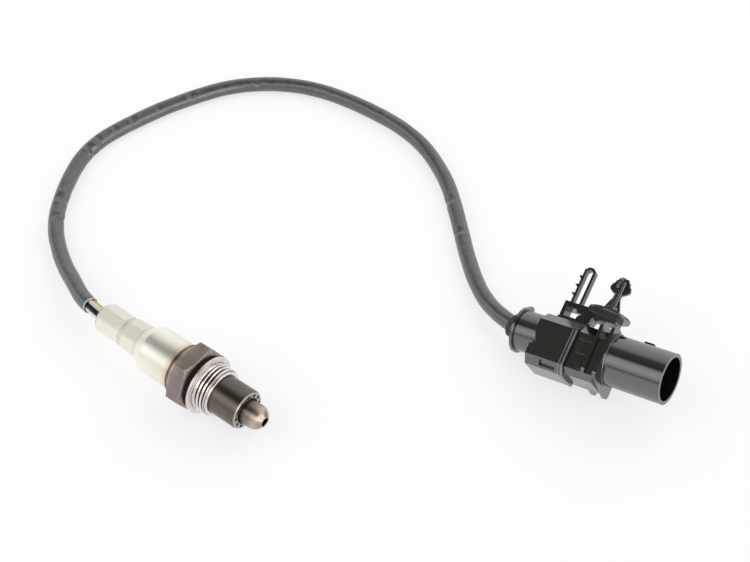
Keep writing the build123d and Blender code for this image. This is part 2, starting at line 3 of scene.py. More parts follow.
import bmesh
import bpy
from mathutils import Matrix, Vector, noise


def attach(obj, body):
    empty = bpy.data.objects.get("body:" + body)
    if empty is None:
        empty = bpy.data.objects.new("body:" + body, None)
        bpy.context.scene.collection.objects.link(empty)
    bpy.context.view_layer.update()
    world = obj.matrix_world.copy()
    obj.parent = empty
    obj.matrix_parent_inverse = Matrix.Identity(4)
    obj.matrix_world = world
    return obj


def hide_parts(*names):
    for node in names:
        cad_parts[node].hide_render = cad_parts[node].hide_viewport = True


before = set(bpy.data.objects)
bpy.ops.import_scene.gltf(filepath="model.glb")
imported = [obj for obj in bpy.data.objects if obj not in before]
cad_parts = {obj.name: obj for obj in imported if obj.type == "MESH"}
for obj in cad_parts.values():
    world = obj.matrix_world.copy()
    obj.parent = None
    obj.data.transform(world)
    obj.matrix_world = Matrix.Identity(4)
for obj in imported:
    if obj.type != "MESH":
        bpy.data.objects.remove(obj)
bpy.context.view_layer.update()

bl_info = {
    "name": "Oxygen Sensor Maker",
    "version": (1, 0, 0),
    "blender": (4, 5, 0),
    "location": "3D View > Sidebar > Oxygen Sensor",
    "description": "Builds a screw-in oxygen sensor with its sheathed lead, plug and harness clip",
    "category": "Add Mesh",
}

# Lengths are in metres, in the part's own frame: +X along the sensor to its tip, +Z up.
# Stations, radii and profiles are written in millimetres and scaled by MM as they become a mesh.
MM = 0.001
WELD_REACH = 0.002

# Stations along the sensor's axis, from the seat
SLEEVE_END = -50.9
GROMMET_FRONT = -37.4
FLARE_FRONT = -26.2
LAND_REAR = -12.4
HEX_REAR = -9.9
HEX_FRONT = -2.95
COLLAR_FRONT = -0.95
THREAD_FRONT = 5.6
NOSE_FRONT = 6.2
GUARD_REAR = 2.5
GUARD_FRONT = 17.6
TIP_STRAIGHT_END = 21.5
TIP_END = 25.4

# The hexagon's width across its flats and the angle of its bevels, and radii round the axis
HEX_ACROSS = 22.0
HEX_BEVEL = math.radians(27)
GASKET_RADIUS = 10.9
COLLAR_RADIUS = 10.2
THREAD_CREST = 9.0
GUARD_RADIUS = 7.3
HOLE_CIRCLE = 5.8
TIP_RADIUS = 4.5
TIP_HOLE = 1.65

# The line that the lead lies on, from behind the sensor to the plug's gland
LEAD_ROUTE = [
    (-0.05626, 0.00038, -0.00027), (-0.0634, 0.0014, -0.0010), (-0.0726, 0.0056, -0.0029),
    (-0.0900, 0.0138, -0.0063), (-0.1075, 0.0260, -0.00785), (-0.1200, 0.0442, -0.00785),
    (-0.1293, 0.0655, -0.00785), (-0.1260, 0.0892, -0.00785), (-0.1187, 0.1127, -0.00785),
    (-0.1074, 0.1349, -0.00785), (-0.0841, 0.1517, -0.00785), (-0.0550, 0.1560, -0.00785),
    (-0.0264, 0.1542, -0.00785), (-0.0022, 0.1414, -0.00785), (0.0145, 0.1260, -0.00785),
    (0.0315, 0.1092, -0.0076), (0.0450, 0.0980, -0.0066), (0.05667, 0.09185, -0.00484),
    (0.06534, 0.09002, -0.00328)]
ROUTE_STEPS = 32

# The plug's own frame: X to the clip's side, Y to its flat face, Z to its mouth
PLUG_FRAME = (
    Matrix.Translation((0.12545, 0.0933, 0.0087))
    @ Matrix.Rotation(math.radians(4.0), 4, "Z")
    @ Matrix.Rotation(math.radians(-11.3), 4, "Y")
    @ Matrix.Rotation(math.radians(26.3), 4, "X")
    @ Matrix(((0, 0, 1, 0), (1, 0, 0, 0), (0, 1, 0, 0), (0, 0, 0, 1))))

# The clip's station along the plug, from its mouth
CLIP_STATION = -29.4

# Turns what was drawn round the sensor's axis to lie round the plug's
AXIS_TO_MOUTH = Matrix(((0, 1, 0, 0), (0, 0, 1, 0), (1, 0, 0, 0), (0, 0, 0, 1)))

# Each wire: its place of five round the circle, its pin's (side, flat) place in the plug, the angle
# at which it lies in the sheath, from +Y towards +Z, and how far it has turned where it leaves the
# grommet, both in degrees, and its colour, new and worn; None stands for the one in the settings
WIRES = {
    "wire_grey": (0, (0.0, 2.2), 80, -10, (0.60, 0.59, 0.56), (0.68, 0.67, 0.65)),
    "wire_black": (1, (-3.3, 2.2), 134, -21, (0.004, 0.004, 0.004), (0.015, 0.015, 0.015)),
    "wire_white": (2, (-3.3, -2.2), 188, -23, (0.80, 0.80, 0.78), (0.60, 0.58, 0.54)),
    "wire_red": (3, (3.3, -2.2), 284, 0, (0.48, 0.035, 0.02), (0.60, 0.12, 0.07)),
    "wire_yellow": (4, (3.3, 2.2), 22, 0, None, (0.70, 0.30, 0.03))}
WIRE_RADIUS = 0.88
WIRE_CIRCLE = 1.65
SHEATHED_CIRCLE = 1.72

# How brightly the room lights matt surfaces, and half of what shiny ones see as their reflection
# leans from the back (0.25) over the top (0.5) to the front (0.75) and down to the floor;
# END_BANK is what a bank of light adds at the tip's end, as the reflection turns towards +X
ROOM_LIGHT = 0.70
LIGHT_BANKS = (
    (0.0, 0.5), (0.24, 0.6), (0.30, 0.56), (0.37, 0.50), (0.43, 0.41), (0.475, (0.085, 0.085, 0.070)),
    (0.565, (0.045, 0.045, 0.036)), (0.592, 0.62), (0.65, 0.78), (0.695, 0.50), (0.715, 0.15), (0.735, 0.48),
    (0.78, 0.55))
END_BANK = ((0.70, 0.0), (0.86, 0.9), (1.0, 1.1))
SOFTBOXES = {"front softbox": (-0.35, -0.55, 0.80), "back softbox": (0.15, 0.70, 0.75)}
SOFTBOX_WATTS = 2.6
SOFTBOX_SIZE = 0.8
LIT_SPOT = (0.0, 0.06, 0.0)
FLOOR_HEIGHT = -0.011
FLOOR_REACH = 3.0
SHADOW_LIFT = 0.7


# ---- node trees

class NodeKit:
    """Builds a node tree one node at a time."""

    def __init__(self, tree):
        self.tree = tree

    def feed(self, socket, value):
        """Links a socket to another, or sets its plain value."""
        if isinstance(value, bpy.types.NodeSocket):
            self.tree.links.new(value, socket)
        elif isinstance(value, tuple) and len(value) == 3 and socket.type == "RGBA":
            socket.default_value = (*value, 1)
        else:
            socket.default_value = value

    def filled(self, kind, *values):
        """New node whose first inputs take the given values, in order."""
        made = self.tree.nodes.new(kind)
        for socket, value in zip(made.inputs, values):
            self.feed(socket, value)
        return made

    def node(self, kind, out=0, props=None, **inputs):
        made = self.tree.nodes.new(kind)
        for key, value in (props or {}).items():
            setattr(made, key, value)
        for key, value in inputs.items():
            self.feed(made.inputs[key.replace("_", " ")], value)
        return made.outputs[out]

    def sums(self, operation, *values):
        made = self.filled("ShaderNodeMath", *values)
        made.operation = operation
        return made.outputs[0]

    def mix(self, factor, first, second, kind="MIX"):
        made = self.tree.nodes.new("ShaderNodeMix")
        made.data_type, made.blend_type = "RGBA", kind
        for index, value in ((0, factor), (6, first), (7, second)):
            self.feed(made.inputs[index], value)
        return made.outputs[2]

    def ramp(self, factor, *stops):
        """Colour or grey ramp through (place, value) stops."""
        made = self.tree.nodes.new("ShaderNodeValToRGB")
        band = made.color_ramp
        while len(band.elements) < len(stops):
            band.elements.new(0.5)
        for element, (place, value) in zip(band.elements, stops):
            element.position = place
            element.color = (*value, 1) if isinstance(value, tuple) else (value, value, value, 1)
        self.feed(made.inputs[0], factor)
        return made.outputs[0]

    def patches(self, mask, low, high, share):
        """How far patches of a second colour show: none where the mask is low, a share where it is high."""
        return self.ramp(mask, (low, 0.0), (high, share))

    def spread(self, mask, low, high):
        """Value that drifts from low to high with a mask."""
        return self.ramp(mask, (0.3, low), (0.7, high))

    def span(self, value, low, high):
        """0 where a value is low, rising evenly to 1 where it is high."""
        return self.filled("ShaderNodeMapRange", value, low, high).outputs["Result"]

    def place(self, kind="Object"):
        """Coordinates of the surface point."""
        return self.node("ShaderNodeTexCoord", kind)

    def axis_part(self, vector, part):
        return self.node("ShaderNodeSeparateXYZ", part, Vector=vector)

    def along(self, rear, front):
        """0 at one station of the sensor's axis, rising evenly to 1 at the other."""
        return self.span(self.axis_part(self.place(), "X"), rear * MM, front * MM)

    def grain(self, scale, detail=2.0, roughness=0.5):
        return self.node("ShaderNodeTexNoise", "Fac", Vector=self.place(), Scale=scale, Detail=detail,
                         Roughness=roughness)

    def rays(self):
        """Masks of the rays that the camera sends, and of those mirrored or let through to what it sees."""
        path = self.tree.nodes.new("ShaderNodeLightPath").outputs
        return path["Is Camera Ray"], self.sums("MAXIMUM", path["Is Glossy Ray"], path["Is Transmission Ray"])

    def effect(self, name, output, **inputs):
        """One output of a shared effect, with this finish's own values."""
        made = self.tree.nodes.new("ShaderNodeGroup")
        made.node_tree = shared(name)
        for key, value in inputs.items():
            self.feed(made.inputs[key], value)
        return made.outputs[output]

    def mottling(self, scale):
        return self.effect("grain", "Mottling", Mottle=scale)

    def pores(self, scale):
        return self.effect("grain", "Height", Grain=scale)

    def rings(self, density, wander=0.3):
        return self.effect("lines", "Height", Density=density, Wander=wander)

    def smudged(self, scale):
        return self.effect("smudges", "Mask", Size=scale)

    def worn(self, start, full):
        return self.effect("wear", "Mask", Start=start, Full=full)


class Finish(NodeKit):
    """One material round its own Principled BSDF."""

    def __init__(self, name, colour, **plain):
        self.material = bpy.data.materials.new(name)
        self.material.use_nodes = True
        super().__init__(self.material.node_tree)
        self.shader = self.tree.nodes["Principled BSDF"]
        self.set(Base_Color=colour, **plain)

    def set(self, **inputs):
        for key, value in inputs.items():
            self.feed(self.shader.inputs[key.replace("_", " ")], value)

    def relief(self, *layers):
        """Bumps from (height, strength, depth in mm) layers, one over the other; gives the material."""
        below = None
        for height, strength, depth in layers:
            made = self.tree.nodes.new("ShaderNodeBump")
            self.feed(made.inputs["Height"], height)
            made.inputs["Strength"].default_value = strength
            made.inputs["Distance"].default_value = depth * MM
            if below:
                self.feed(made.inputs["Normal"], below)
            below = made.outputs[0]
        self.set(Normal=below)
        return self.material


def effect_group(name, inputs, outputs):
    """Empty shared effect with named sockets: its kit, its inputs and its outputs."""
    tree = bpy.data.node_groups.new(name, "ShaderNodeTree")
    for label, value in inputs.items():
        tree.interface.new_socket(label, in_out="INPUT", socket_type="NodeSocketFloat").default_value = value
    for label in outputs:
        tree.interface.new_socket(label, in_out="OUTPUT", socket_type="NodeSocketFloat")
    kit = NodeKit(tree)
    return kit, tree.nodes.new("NodeGroupInput").outputs, tree.nodes.new("NodeGroupOutput").inputs


def turning_lines():
    """Fine rings left by a lathe or a drawing die, square to the sensor's axis."""
    kit, given, out = effect_group("Turning lines", {"Density": 4000.0, "Wander": 0.3}, ["Height"])
    along = kit.axis_part(kit.place(), "X")
    wander = kit.sums("MULTIPLY", kit.grain(260.0, 1.0), given["Wander"])
    lines = kit.sums("ADD", kit.sums("MULTIPLY", along, given["Density"]), wander)
    kit.feed(out["Height"], kit.node(
        "ShaderNodeTexNoise", "Fac", {"noise_dimensions": "1D"}, W=lines, Scale=1.0, Detail=3.0))
    return kit.tree


def fine_grain():
    """Grain of a moulding or a casting, with broader mottling over it."""
    kit, given, out = effect_group("Fine grain", {"Grain": 5000.0, "Mottle": 220.0}, ["Height", "Mottling"])
    kit.feed(out["Height"], kit.grain(given["Grain"], 3.0))
    kit.feed(out["Mottling"], kit.grain(given["Mottle"], 4.0, roughness=0.6))
    return kit.tree


def edge_wear():
    """Mask of the edges that handling has rubbed bright."""
    kit, given, out = effect_group("Edge wear", {"Start": 0.52, "Full": 0.60, "Breakup": 900.0}, ["Mask"])
    edges = kit.span(kit.node("ShaderNodeNewGeometry", "Pointiness"), given["Start"], given["Full"])
    broken = kit.ramp(kit.grain(given["Breakup"], 3.0), (0.35, 0.25), (0.65, 1.0))
    kit.feed(out["Mask"], kit.sums("MULTIPLY", edges, broken))
    return kit.tree


def smudges():
    """Mask of finger marks and dull patches."""
    kit, given, out = effect_group("Smudges", {"Size": 90.0, "Cover": 0.5}, ["Mask"])
    cloud = kit.grain(given["Size"], 5.0, roughness=0.65)
    kit.feed(out["Mask"], kit.sums("SMOOTH_MIN", kit.sums("MULTIPLY", cloud, given["Cover"]), 1.0, 0.1))
    return kit.tree


EFFECTS = {"lines": turning_lines, "grain": fine_grain, "wear": edge_wear, "smudges": smudges}
BUILT = {}


def shared(name):
    """The shared effect of that name, built the first time it is asked for."""
    if name not in BUILT:
        BUILT[name] = EFFECTS[name]()
    return BUILT[name]


# ---- finishes

def plated_steel():
    """Dull plated hexagon and collars, straw and brown where the weld heated them, with a painted highlight
    as the bright straw band on the rear step's rounded edge.
    """
    f = Finish("Plated steel with weld tint", (0.3, 0.27, 0.26), Metallic=1.0)
    # The bright straw stop at 0.13 lies on the rounded edge of the step behind the hexagon: a painted
    # highlight over the weld tint.
    tint = f.ramp(
        f.along(-13, 7), (0.03, (0.26, 0.17, 0.10)), (0.07, (0.15, 0.10, 0.07)), (0.105, (0.46, 0.34, 0.22)),
        (0.13, (0.66, 0.49, 0.34)), (0.147, (0.24, 0.18, 0.14)), (0.175, (0.31, 0.26, 0.24)),
        (0.495, (0.28, 0.235, 0.22)))
    mottle = f.mottling(260.0)
    base = f.mix(f.patches(mottle, 0.35, 0.7, 0.30), tint, (0.13, 0.10, 0.09))
    f.set(Base_Color=f.mix(f.worn(0.515, 0.56), base, (0.52, 0.46, 0.42)),
          Roughness=f.spread(mottle, 0.34, 0.48))
    return f.relief((f.pores(2600.0), 0.12, 0.06), (f.rings(9000.0), 0.08, 0.05))


def thread_steel():
    """Rolled thread: its colour darkens towards the roots as painted shade and brightens on the crests as a
    painted highlight.
    """
    f = Finish("Thread steel", (0.5, 0.5, 0.5), Metallic=1.0)
    off_axis = f.node("ShaderNodeVectorMath", "Vector", {"operation": "MULTIPLY"}, Vector=f.place())
    off_axis.node.inputs[1].default_value = (0, 1, 1)
    radius = f.node("ShaderNodeVectorMath", "Value", {"operation": "LENGTH"}, Vector=off_axis)
    height = f.span(radius, 8.05 * MM, THREAD_CREST * MM)
    uneven = f.sums("MULTIPLY", f.sums("SUBTRACT", f.mottling(500.0), 0.5), 0.25)
    root_shade_crest_highlight = f.sums("ADD", height, uneven)
    # Painted shade in the roots and a painted highlight on the crests, set by radius.
    f.set(Base_Color=f.ramp(root_shade_crest_highlight, (0.12, (0.10, 0.078, 0.064)), (0.60, (0.34, 0.29, 0.26)),
                            (0.90, (0.82, 0.77, 0.74))),
          Roughness=f.ramp(root_shade_crest_highlight, (0.1, 0.55), (0.9, 0.26)))
    return f.relief((f.rings(7000.0), 0.15, 0.05))


def guard_steel():
    """Heat-darkened drawn tube, with a painted highlight as a pale rim on the rounded edge at its face."""
    f = Finish("Guard steel", (0.13, 0.11, 0.095), Metallic=1.0)
    mottle = f.mottling(120.0)
    streak = f.patches(f.rings(1300.0, 0.5), 0.40, 0.75, 0.12)
    base = f.mix(mottle, (0.105, 0.088, 0.076), (0.16, 0.135, 0.115))
    # Pale band on the rounded front edge: a painted highlight.
    rim = f.patches(f.along(GUARD_REAR, GUARD_FRONT), 0.962, 0.99, 1.0)
    f.set(Base_Color=f.mix(rim, f.mix(streak, base, (0.24, 0.20, 0.17)), (0.48, 0.435, 0.37)),
          Roughness=f.spread(mottle, 0.24, 0.32))
    return f.relief((f.rings(6000.0), 0.05, 0.03))


def guard_face_steel():
    """Brighter pierced end face of the guard."""
    f = Finish("Guard face steel", (0.5, 0.47, 0.44), Metallic=1.0)
    mottle = f.mottling(600.0)
    f.set(Base_Color=f.mix(mottle, (0.27, 0.25, 0.225), (0.46, 0.435, 0.39)),
          Roughness=f.spread(mottle, 0.34, 0.5))
    return f.relief((f.pores(3400.0), 0.15, 0.06))


def tip_bronze():
    """Tip of the guard, bronzed by heat, with painted shade darkening its base and the recess round it, and a
    painted highlight on the dome's shoulder.
    """
    f = Finish("Heat-bronzed tip", (0.45, 0.32, 0.22), Metallic=1.0)
    mottle = f.mottling(300.0)
    # Dark at the tip's base and in the recess: painted shade; lightest on the dome's shoulder: a painted
    # highlight.
    side = f.along(GUARD_FRONT, 25.0)
    warm, cool = (f.ramp(side, *zip((0.02, 0.2, 0.50, 0.75, 0.95), colours)) for colours in (
        ((0.085, 0.072, 0.060), (0.14, 0.12, 0.095), (0.24, 0.20, 0.155), (0.47, 0.40, 0.32),
         (0.36, 0.28, 0.22)),
        ((0.11, 0.097, 0.084), (0.20, 0.175, 0.15), (0.30, 0.25, 0.21), (0.56, 0.49, 0.42),
         (0.40, 0.32, 0.26))))
    f.set(Base_Color=f.mix(f.worn(0.53, 0.62), f.mix(mottle, warm, cool), (0.80, 0.70, 0.62)),
          Roughness=f.spread(mottle, 0.26, 0.36))
    return f.relief((f.rings(9000.0), 0.05, 0.03))


def sleeve_steel():
    """Pale drawn stainless sleeve with faint drawing lines and finger marks."""
    f = Finish("Pale stainless", (0.92, 0.89, 0.80), Metallic=1.0)
    marks = f.smudged(110.0)
    heat = f.ramp(f.along(-24, LAND_REAR), (0.0, 0.0), (0.80, 0.22), (1.0, 0.8))
    rear = f.along(SLEEVE_END, FLARE_FRONT)
    # Painted shade: dark lines on the groove's edges and floor, at the start of the crimp and near the tail.
    shade_lines = f.ramp(rear, (0.025, 0.4), (0.05, 0.0), (0.46, 0.0), (0.476, 0.45), (0.490, 0.15), (0.512, 0.15),
                  (0.528, 0.45), (0.54, 0.0), (0.80, 0.0), (0.825, 0.3), (0.845, 0.0))
    base = f.mix(shade_lines, f.mix(heat, (0.93, 0.905, 0.83), (0.66, 0.51, 0.36)), (0.42, 0.41, 0.37))
    pressed = f.ramp(rear, (0.84, 0.30), (0.88, 0.0))
    f.set(Base_Color=f.mix(f.patches(marks, 0.2, 0.45, 0.3), base, (0.80, 0.77, 0.68)),
          Roughness=f.sums("ADD", f.ramp(marks, (0.15, 0.40), (0.4, 0.48)), pressed))
    return f.relief((f.rings(7000.0, 0.5), 0.10, 0.05), (f.pores(1500.0), 0.05, 0.08))


def sheath_vinyl():
    """Slate-grey sheath: a close weave under a rubbed skin, creased where it bends."""
    f = Finish("Sheath", (0.05, 0.052, 0.056), IOR=1.95)
    run = f.place("UV")
    ribs = f.node("ShaderNodeTexWave", "Fac", {"bands_direction": "X"}, Vector=run, Scale=330.0,
                  Distortion=2.5, Detail=2.0)
    cross = f.node("ShaderNodeTexWave", "Fac", {"bands_direction": "Y"}, Vector=run, Scale=900.0,
                   Distortion=1.5, Detail=1.0)
    weave = f.sums("MULTIPLY", ribs, f.sums("ADD", f.sums("MULTIPLY", cross, 0.6), 0.4))
    mottle = f.mottling(70.0)
    paler = f.patches(f.grain(420.0, 5.0, 0.7), 0.42, 0.75, 0.7)
    base = f.mix(mottle, (0.022, 0.023, 0.025), (0.055, 0.056, 0.059))
    # Paler band within 0.7 mm of the mouth: a painted highlight on the lip.
    lip = f.span(f.axis_part(run, "X"), 0.0, 0.7 * MM)
    lip_highlight = f.ramp(f.sums("SUBTRACT", lip, f.sums("MULTIPLY", f.grain(900.0), 0.6)), (0.1, 0.8), (0.3, 0.0))
    f.set(Base_Color=f.mix(lip_highlight, f.mix(paler, base, (0.085, 0.087, 0.091)), (0.62, 0.62, 0.63)),
          Roughness=f.spread(mottle, 0.26, 0.40))
    return f.relief((f.grain(150.0, 3.0), 0.55, 0.6), (weave, 0.22, 0.10), (f.pores(900.0), 0.25, 0.1))


def satin_moulding(name, colour, rough, gloss=2.25):
    """Black glass-filled moulding, polished hard: fine spark texture and dull patches."""
    f = Finish(name, colour, IOR=gloss)
    lighter = tuple(min(1.0, part * 1.6 + 0.001) for part in colour)
    cover = f.patches(f.mottling(140.0), 0.4, 0.75, 0.8)
    f.set(Base_Color=f.mix(cover, colour, lighter),
          Roughness=f.sums("ADD", rough - 0.03, f.sums("MULTIPLY", f.smudged(120.0), 0.10)))
    return f.relief((f.pores(1800.0), 0.03, 0.03))


def bare_metal(name, colour, dull):
    """Stamped or drawn metal that nothing has coloured."""
    f = Finish(name, colour, Metallic=1.0)
    marks = f.smudged(240.0)
    f.set(Base_Color=f.mix(f.patches(marks, 0.2, 0.5, 0.7), colour, dull),
          Roughness=f.ramp(marks, (0.15, 0.22), (0.45, 0.40)))
    return f.relief((f.pores(3000.0), 0.08, 0.04))


def mottled(f, size, cover, colour, patch, rough):
    """Lets a finish's colour and polish drift together over broad patches."""
    mottle = f.mottling(size)
    f.set(Base_Color=f.mix(f.patches(mottle, *cover), colour, patch), Roughness=f.spread(mottle, *rough))


def gasket_steel():
    """Bright stainless ring, turned and a little pink."""
    f = Finish("Gasket steel", (0.82, 0.76, 0.74), Metallic=1.0)
    mottled(f, 420.0, (0.4, 0.75, 0.6), (0.74, 0.68, 0.65), (0.52, 0.46, 0.43), (0.28, 0.42))
    return f.relief((f.rings(14000.0, 0.6), 0.25, 0.05), (f.pores(3000.0), 0.1, 0.04))


def wire_vinyl(name, colour, worn):
    """Insulation of one wire, with the slight ripple that extrusion leaves."""
    f = Finish(name, colour, Specular_IOR_Level=0.25)
    mottled(f, 700.0, (0.45, 0.75, 0.5), colour, worn, (0.32, 0.46))
    return f.relief((f.pores(2500.0), 0.1, 0.05))


def soft_rubber(name, colour, shine=0.5):
    """Matt rubber with patches of bloom."""
    f = Finish(name, colour, Specular_IOR_Level=shine)
    bloom = tuple(part * (1.8 + shine) for part in colour)
    mottled(f, 350.0, (0.4, 0.8, 0.7), colour, bloom, (0.55, 0.75))
    return f.relief((f.pores(2400.0), 0.2, 0.08))


def fired_ceramic(name, colour):
    """Fired ceramic: pores and faint stains."""
    f = Finish(name, colour)
    stain = tuple(part * 0.82 for part in colour)
    mottled(f, 200.0, (0.45, 0.8, 0.8), colour, stain, (0.42, 0.60))
    return f.relief((f.pores(5200.0), 0.15, 0.05))


# ---- mesh tools

def polar(angle, radius=1.0):
    """Point of a circle, at an angle from the first of two axes."""
    return radius * math.cos(angle), radius * math.sin(angle)


def softened(profile, steps=3):
    """Profile with its corners rounded: each point is (x, radius) or (x, radius, rounding)."""
    points = []
    last = len(profile) - 1
    for k, corner in enumerate(profile):
        here = Vector(corner[:2])
        rounding = corner[2] if len(corner) > 2 else 0
        if not rounding or k in (0, last):
            points.append(tuple(here))
            continue
        before, after = Vector(profile[k - 1][:2]) - here, Vector(profile[k + 1][:2]) - here
        reach = min(rounding, 0.48 * before.length, 0.48 * after.length)
        start, end = here + before.normalized() * reach, here + after.normalized() * reach
        for step in range(steps + 1):
            t = step / steps
            points.append(tuple(start * (1 - t) ** 2 + here * 2 * t * (1 - t) + end * t ** 2))
    return points


def turned_rings(profile, count, first=0.0):
    """Rings round the sensor's axis, one for each (x, radius) point."""
    angles = [first + math.tau * k / count for k in range(count)]
    return [[(x, *polar(angle, radius)) for angle in angles] for x, radius in profile]


def skin(bm, rings, closed=False, ends=True, finish=0):
    """Skins rings of equally many points, given in millimetres."""
    loops = [[bm.verts.new(Vector(point) * MM) for point in ring] for ring in rings]
    following = loops[1:] + ([loops[0]] if closed else [])
    for one, other in zip(loops, following):
        for k in range(len(one)):
            after = (k + 1) % len(one)
            bm.faces.new((one[k], one[after], other[after], other[k])).material_index = finish
    if ends and not closed:
        for loop in (loops[0], loops[-1]):
            bm.faces.new(loop).material_index = finish
    return loops


def turned(bm, profile, count, closed=False, ends=True, finish=0, first=0.0, steps=3):
    return skin(bm, turned_rings(softened(profile, steps), count, first), closed, ends, finish)


def to_plug(bm, loops, first=Matrix()):
    """Moves loops that were drawn in the plug's frame to its place."""
    bmesh.ops.transform(bm, matrix=PLUG_FRAME @ first, verts=[vertex for loop in loops for vertex in loop])


def finished_piece(name, bm, finishes, node, sharp=38, weld=True):
    """Turns a bmesh into a shown piece that stands for the given CAD node."""
    if weld:
        bmesh.ops.remove_doubles(bm, verts=bm.verts, dist=WELD_REACH * MM)
    bmesh.ops.recalc_face_normals(bm, faces=bm.faces)
    mesh = bpy.data.meshes.new(name)
    bm.to_mesh(mesh)
    bm.free()
    mesh.shade_smooth()
    mesh.set_sharp_from_angle(angle=math.radians(sharp))
    for finish in finishes:
        mesh.materials.append(finish)
    piece = bpy.data.objects.new(name, mesh)
    bpy.context.scene.collection.objects.link(piece)
    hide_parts(node)
    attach(piece, "root")
    return piece


def spline_points(points, resolution):
    """Points of a smooth NURBS line through the given controls, in metres."""
    curve = bpy.data.curves.new("route", "CURVE")
    curve.dimensions = "3D"
    spline = curve.splines.new("NURBS")
    spline.points.add(len(points) - 1)
    for target, point in zip(spline.points, points):
        target.co = (*point, 1)
    spline.order_u = 3
    spline.use_endpoint_u = True
    spline.resolution_u = resolution
    holder = bpy.data.objects.new("route", curve)
    line = bpy.data.meshes.new_from_object(holder)
    found = [vertex.co.copy() for vertex in line.vertices]
    bpy.data.objects.remove(holder)
    bpy.data.curves.remove(curve)
    bpy.data.meshes.remove(line)
    return found


def cross_frames(points):
    """Square (side, up) directions carried along a line without twisting."""
    up = Vector((0, 0, 1))
    frames = []
    for k in range(len(points)):
        ahead = (points[min(k + 1, len(points) - 1)] - points[max(k - 1, 0)]).normalized()
        up = (up - ahead * up.dot(ahead)).normalized()
        frames.append((ahead.cross(up), up))
    return frames


def tube_rings(points, radius_at, count):
    """Rings along a line and the run at each; radius_at gives a radius from (run, angle), in mm."""
    run = 0.0
    rings, runs = [], []
    for k, (point, (side, up)) in enumerate(zip(points, cross_frames(points))):
        if k:
            run += (point - points[k - 1]).length / MM
        ring = []
        for step in range(count):
            angle = math.tau * step / count
            ring.append(point / MM + (side * math.cos(angle) + up * math.sin(angle)) * radius_at(run, angle))
        rings.append(ring)
        runs.append(run)
    return rings, runs


# ---- settings and stage

class SensorSizes(bpy.types.PropertyGroup):
    """Sizes that the looks take beyond the CAD model's own"""
    thread_pitch: bpy.props.FloatProperty(
        name="Thread pitch", description="Distance between two crests", default=1.5 * MM, unit="LENGTH")
    thread_depth: bpy.props.FloatProperty(
        name="Thread depth", description="Height of a crest over its root", default=0.9 * MM, unit="LENGTH")
    corner_rounding: bpy.props.FloatProperty(
        name="Hexagon corner", description="Rounding of the hexagon's corners", default=0.35 * MM,
        unit="LENGTH")
    sheath_radius: bpy.props.FloatProperty(
        name="Sheath radius", description="Radius of the lead's sheath", default=3.08 * MM, unit="LENGTH")
    sheath_wall: bpy.props.FloatProperty(
        name="Sheath wall", description="Thickness of the sheath at its mouth", default=0.45 * MM,
        unit="LENGTH")
    moulding_edge: bpy.props.FloatProperty(
        name="Moulding edge", description="Rounding of the plug's moulded edges", default=0.34 * MM,
        unit="LENGTH")


class SensorColours(bpy.types.PropertyGroup):
    """Colours that a user may want to change"""
    plug_black: bpy.props.FloatVectorProperty(
        name="Plug", description="Colour of the plug's mouldings", subtype="COLOR", size=3,
        default=(0.0055, 0.0055, 0.0058))
    yellow_wire: bpy.props.FloatVectorProperty(
        name="Yellow wire", description="Colour of the heater's wire", subtype="COLOR", size=3,
        default=(0.80, 0.42, 0.025))
    backdrop: bpy.props.FloatVectorProperty(
        name="Floor", description="Colour of the floor", subtype="COLOR", size=3, default=(0.97, 0.97, 0.97))


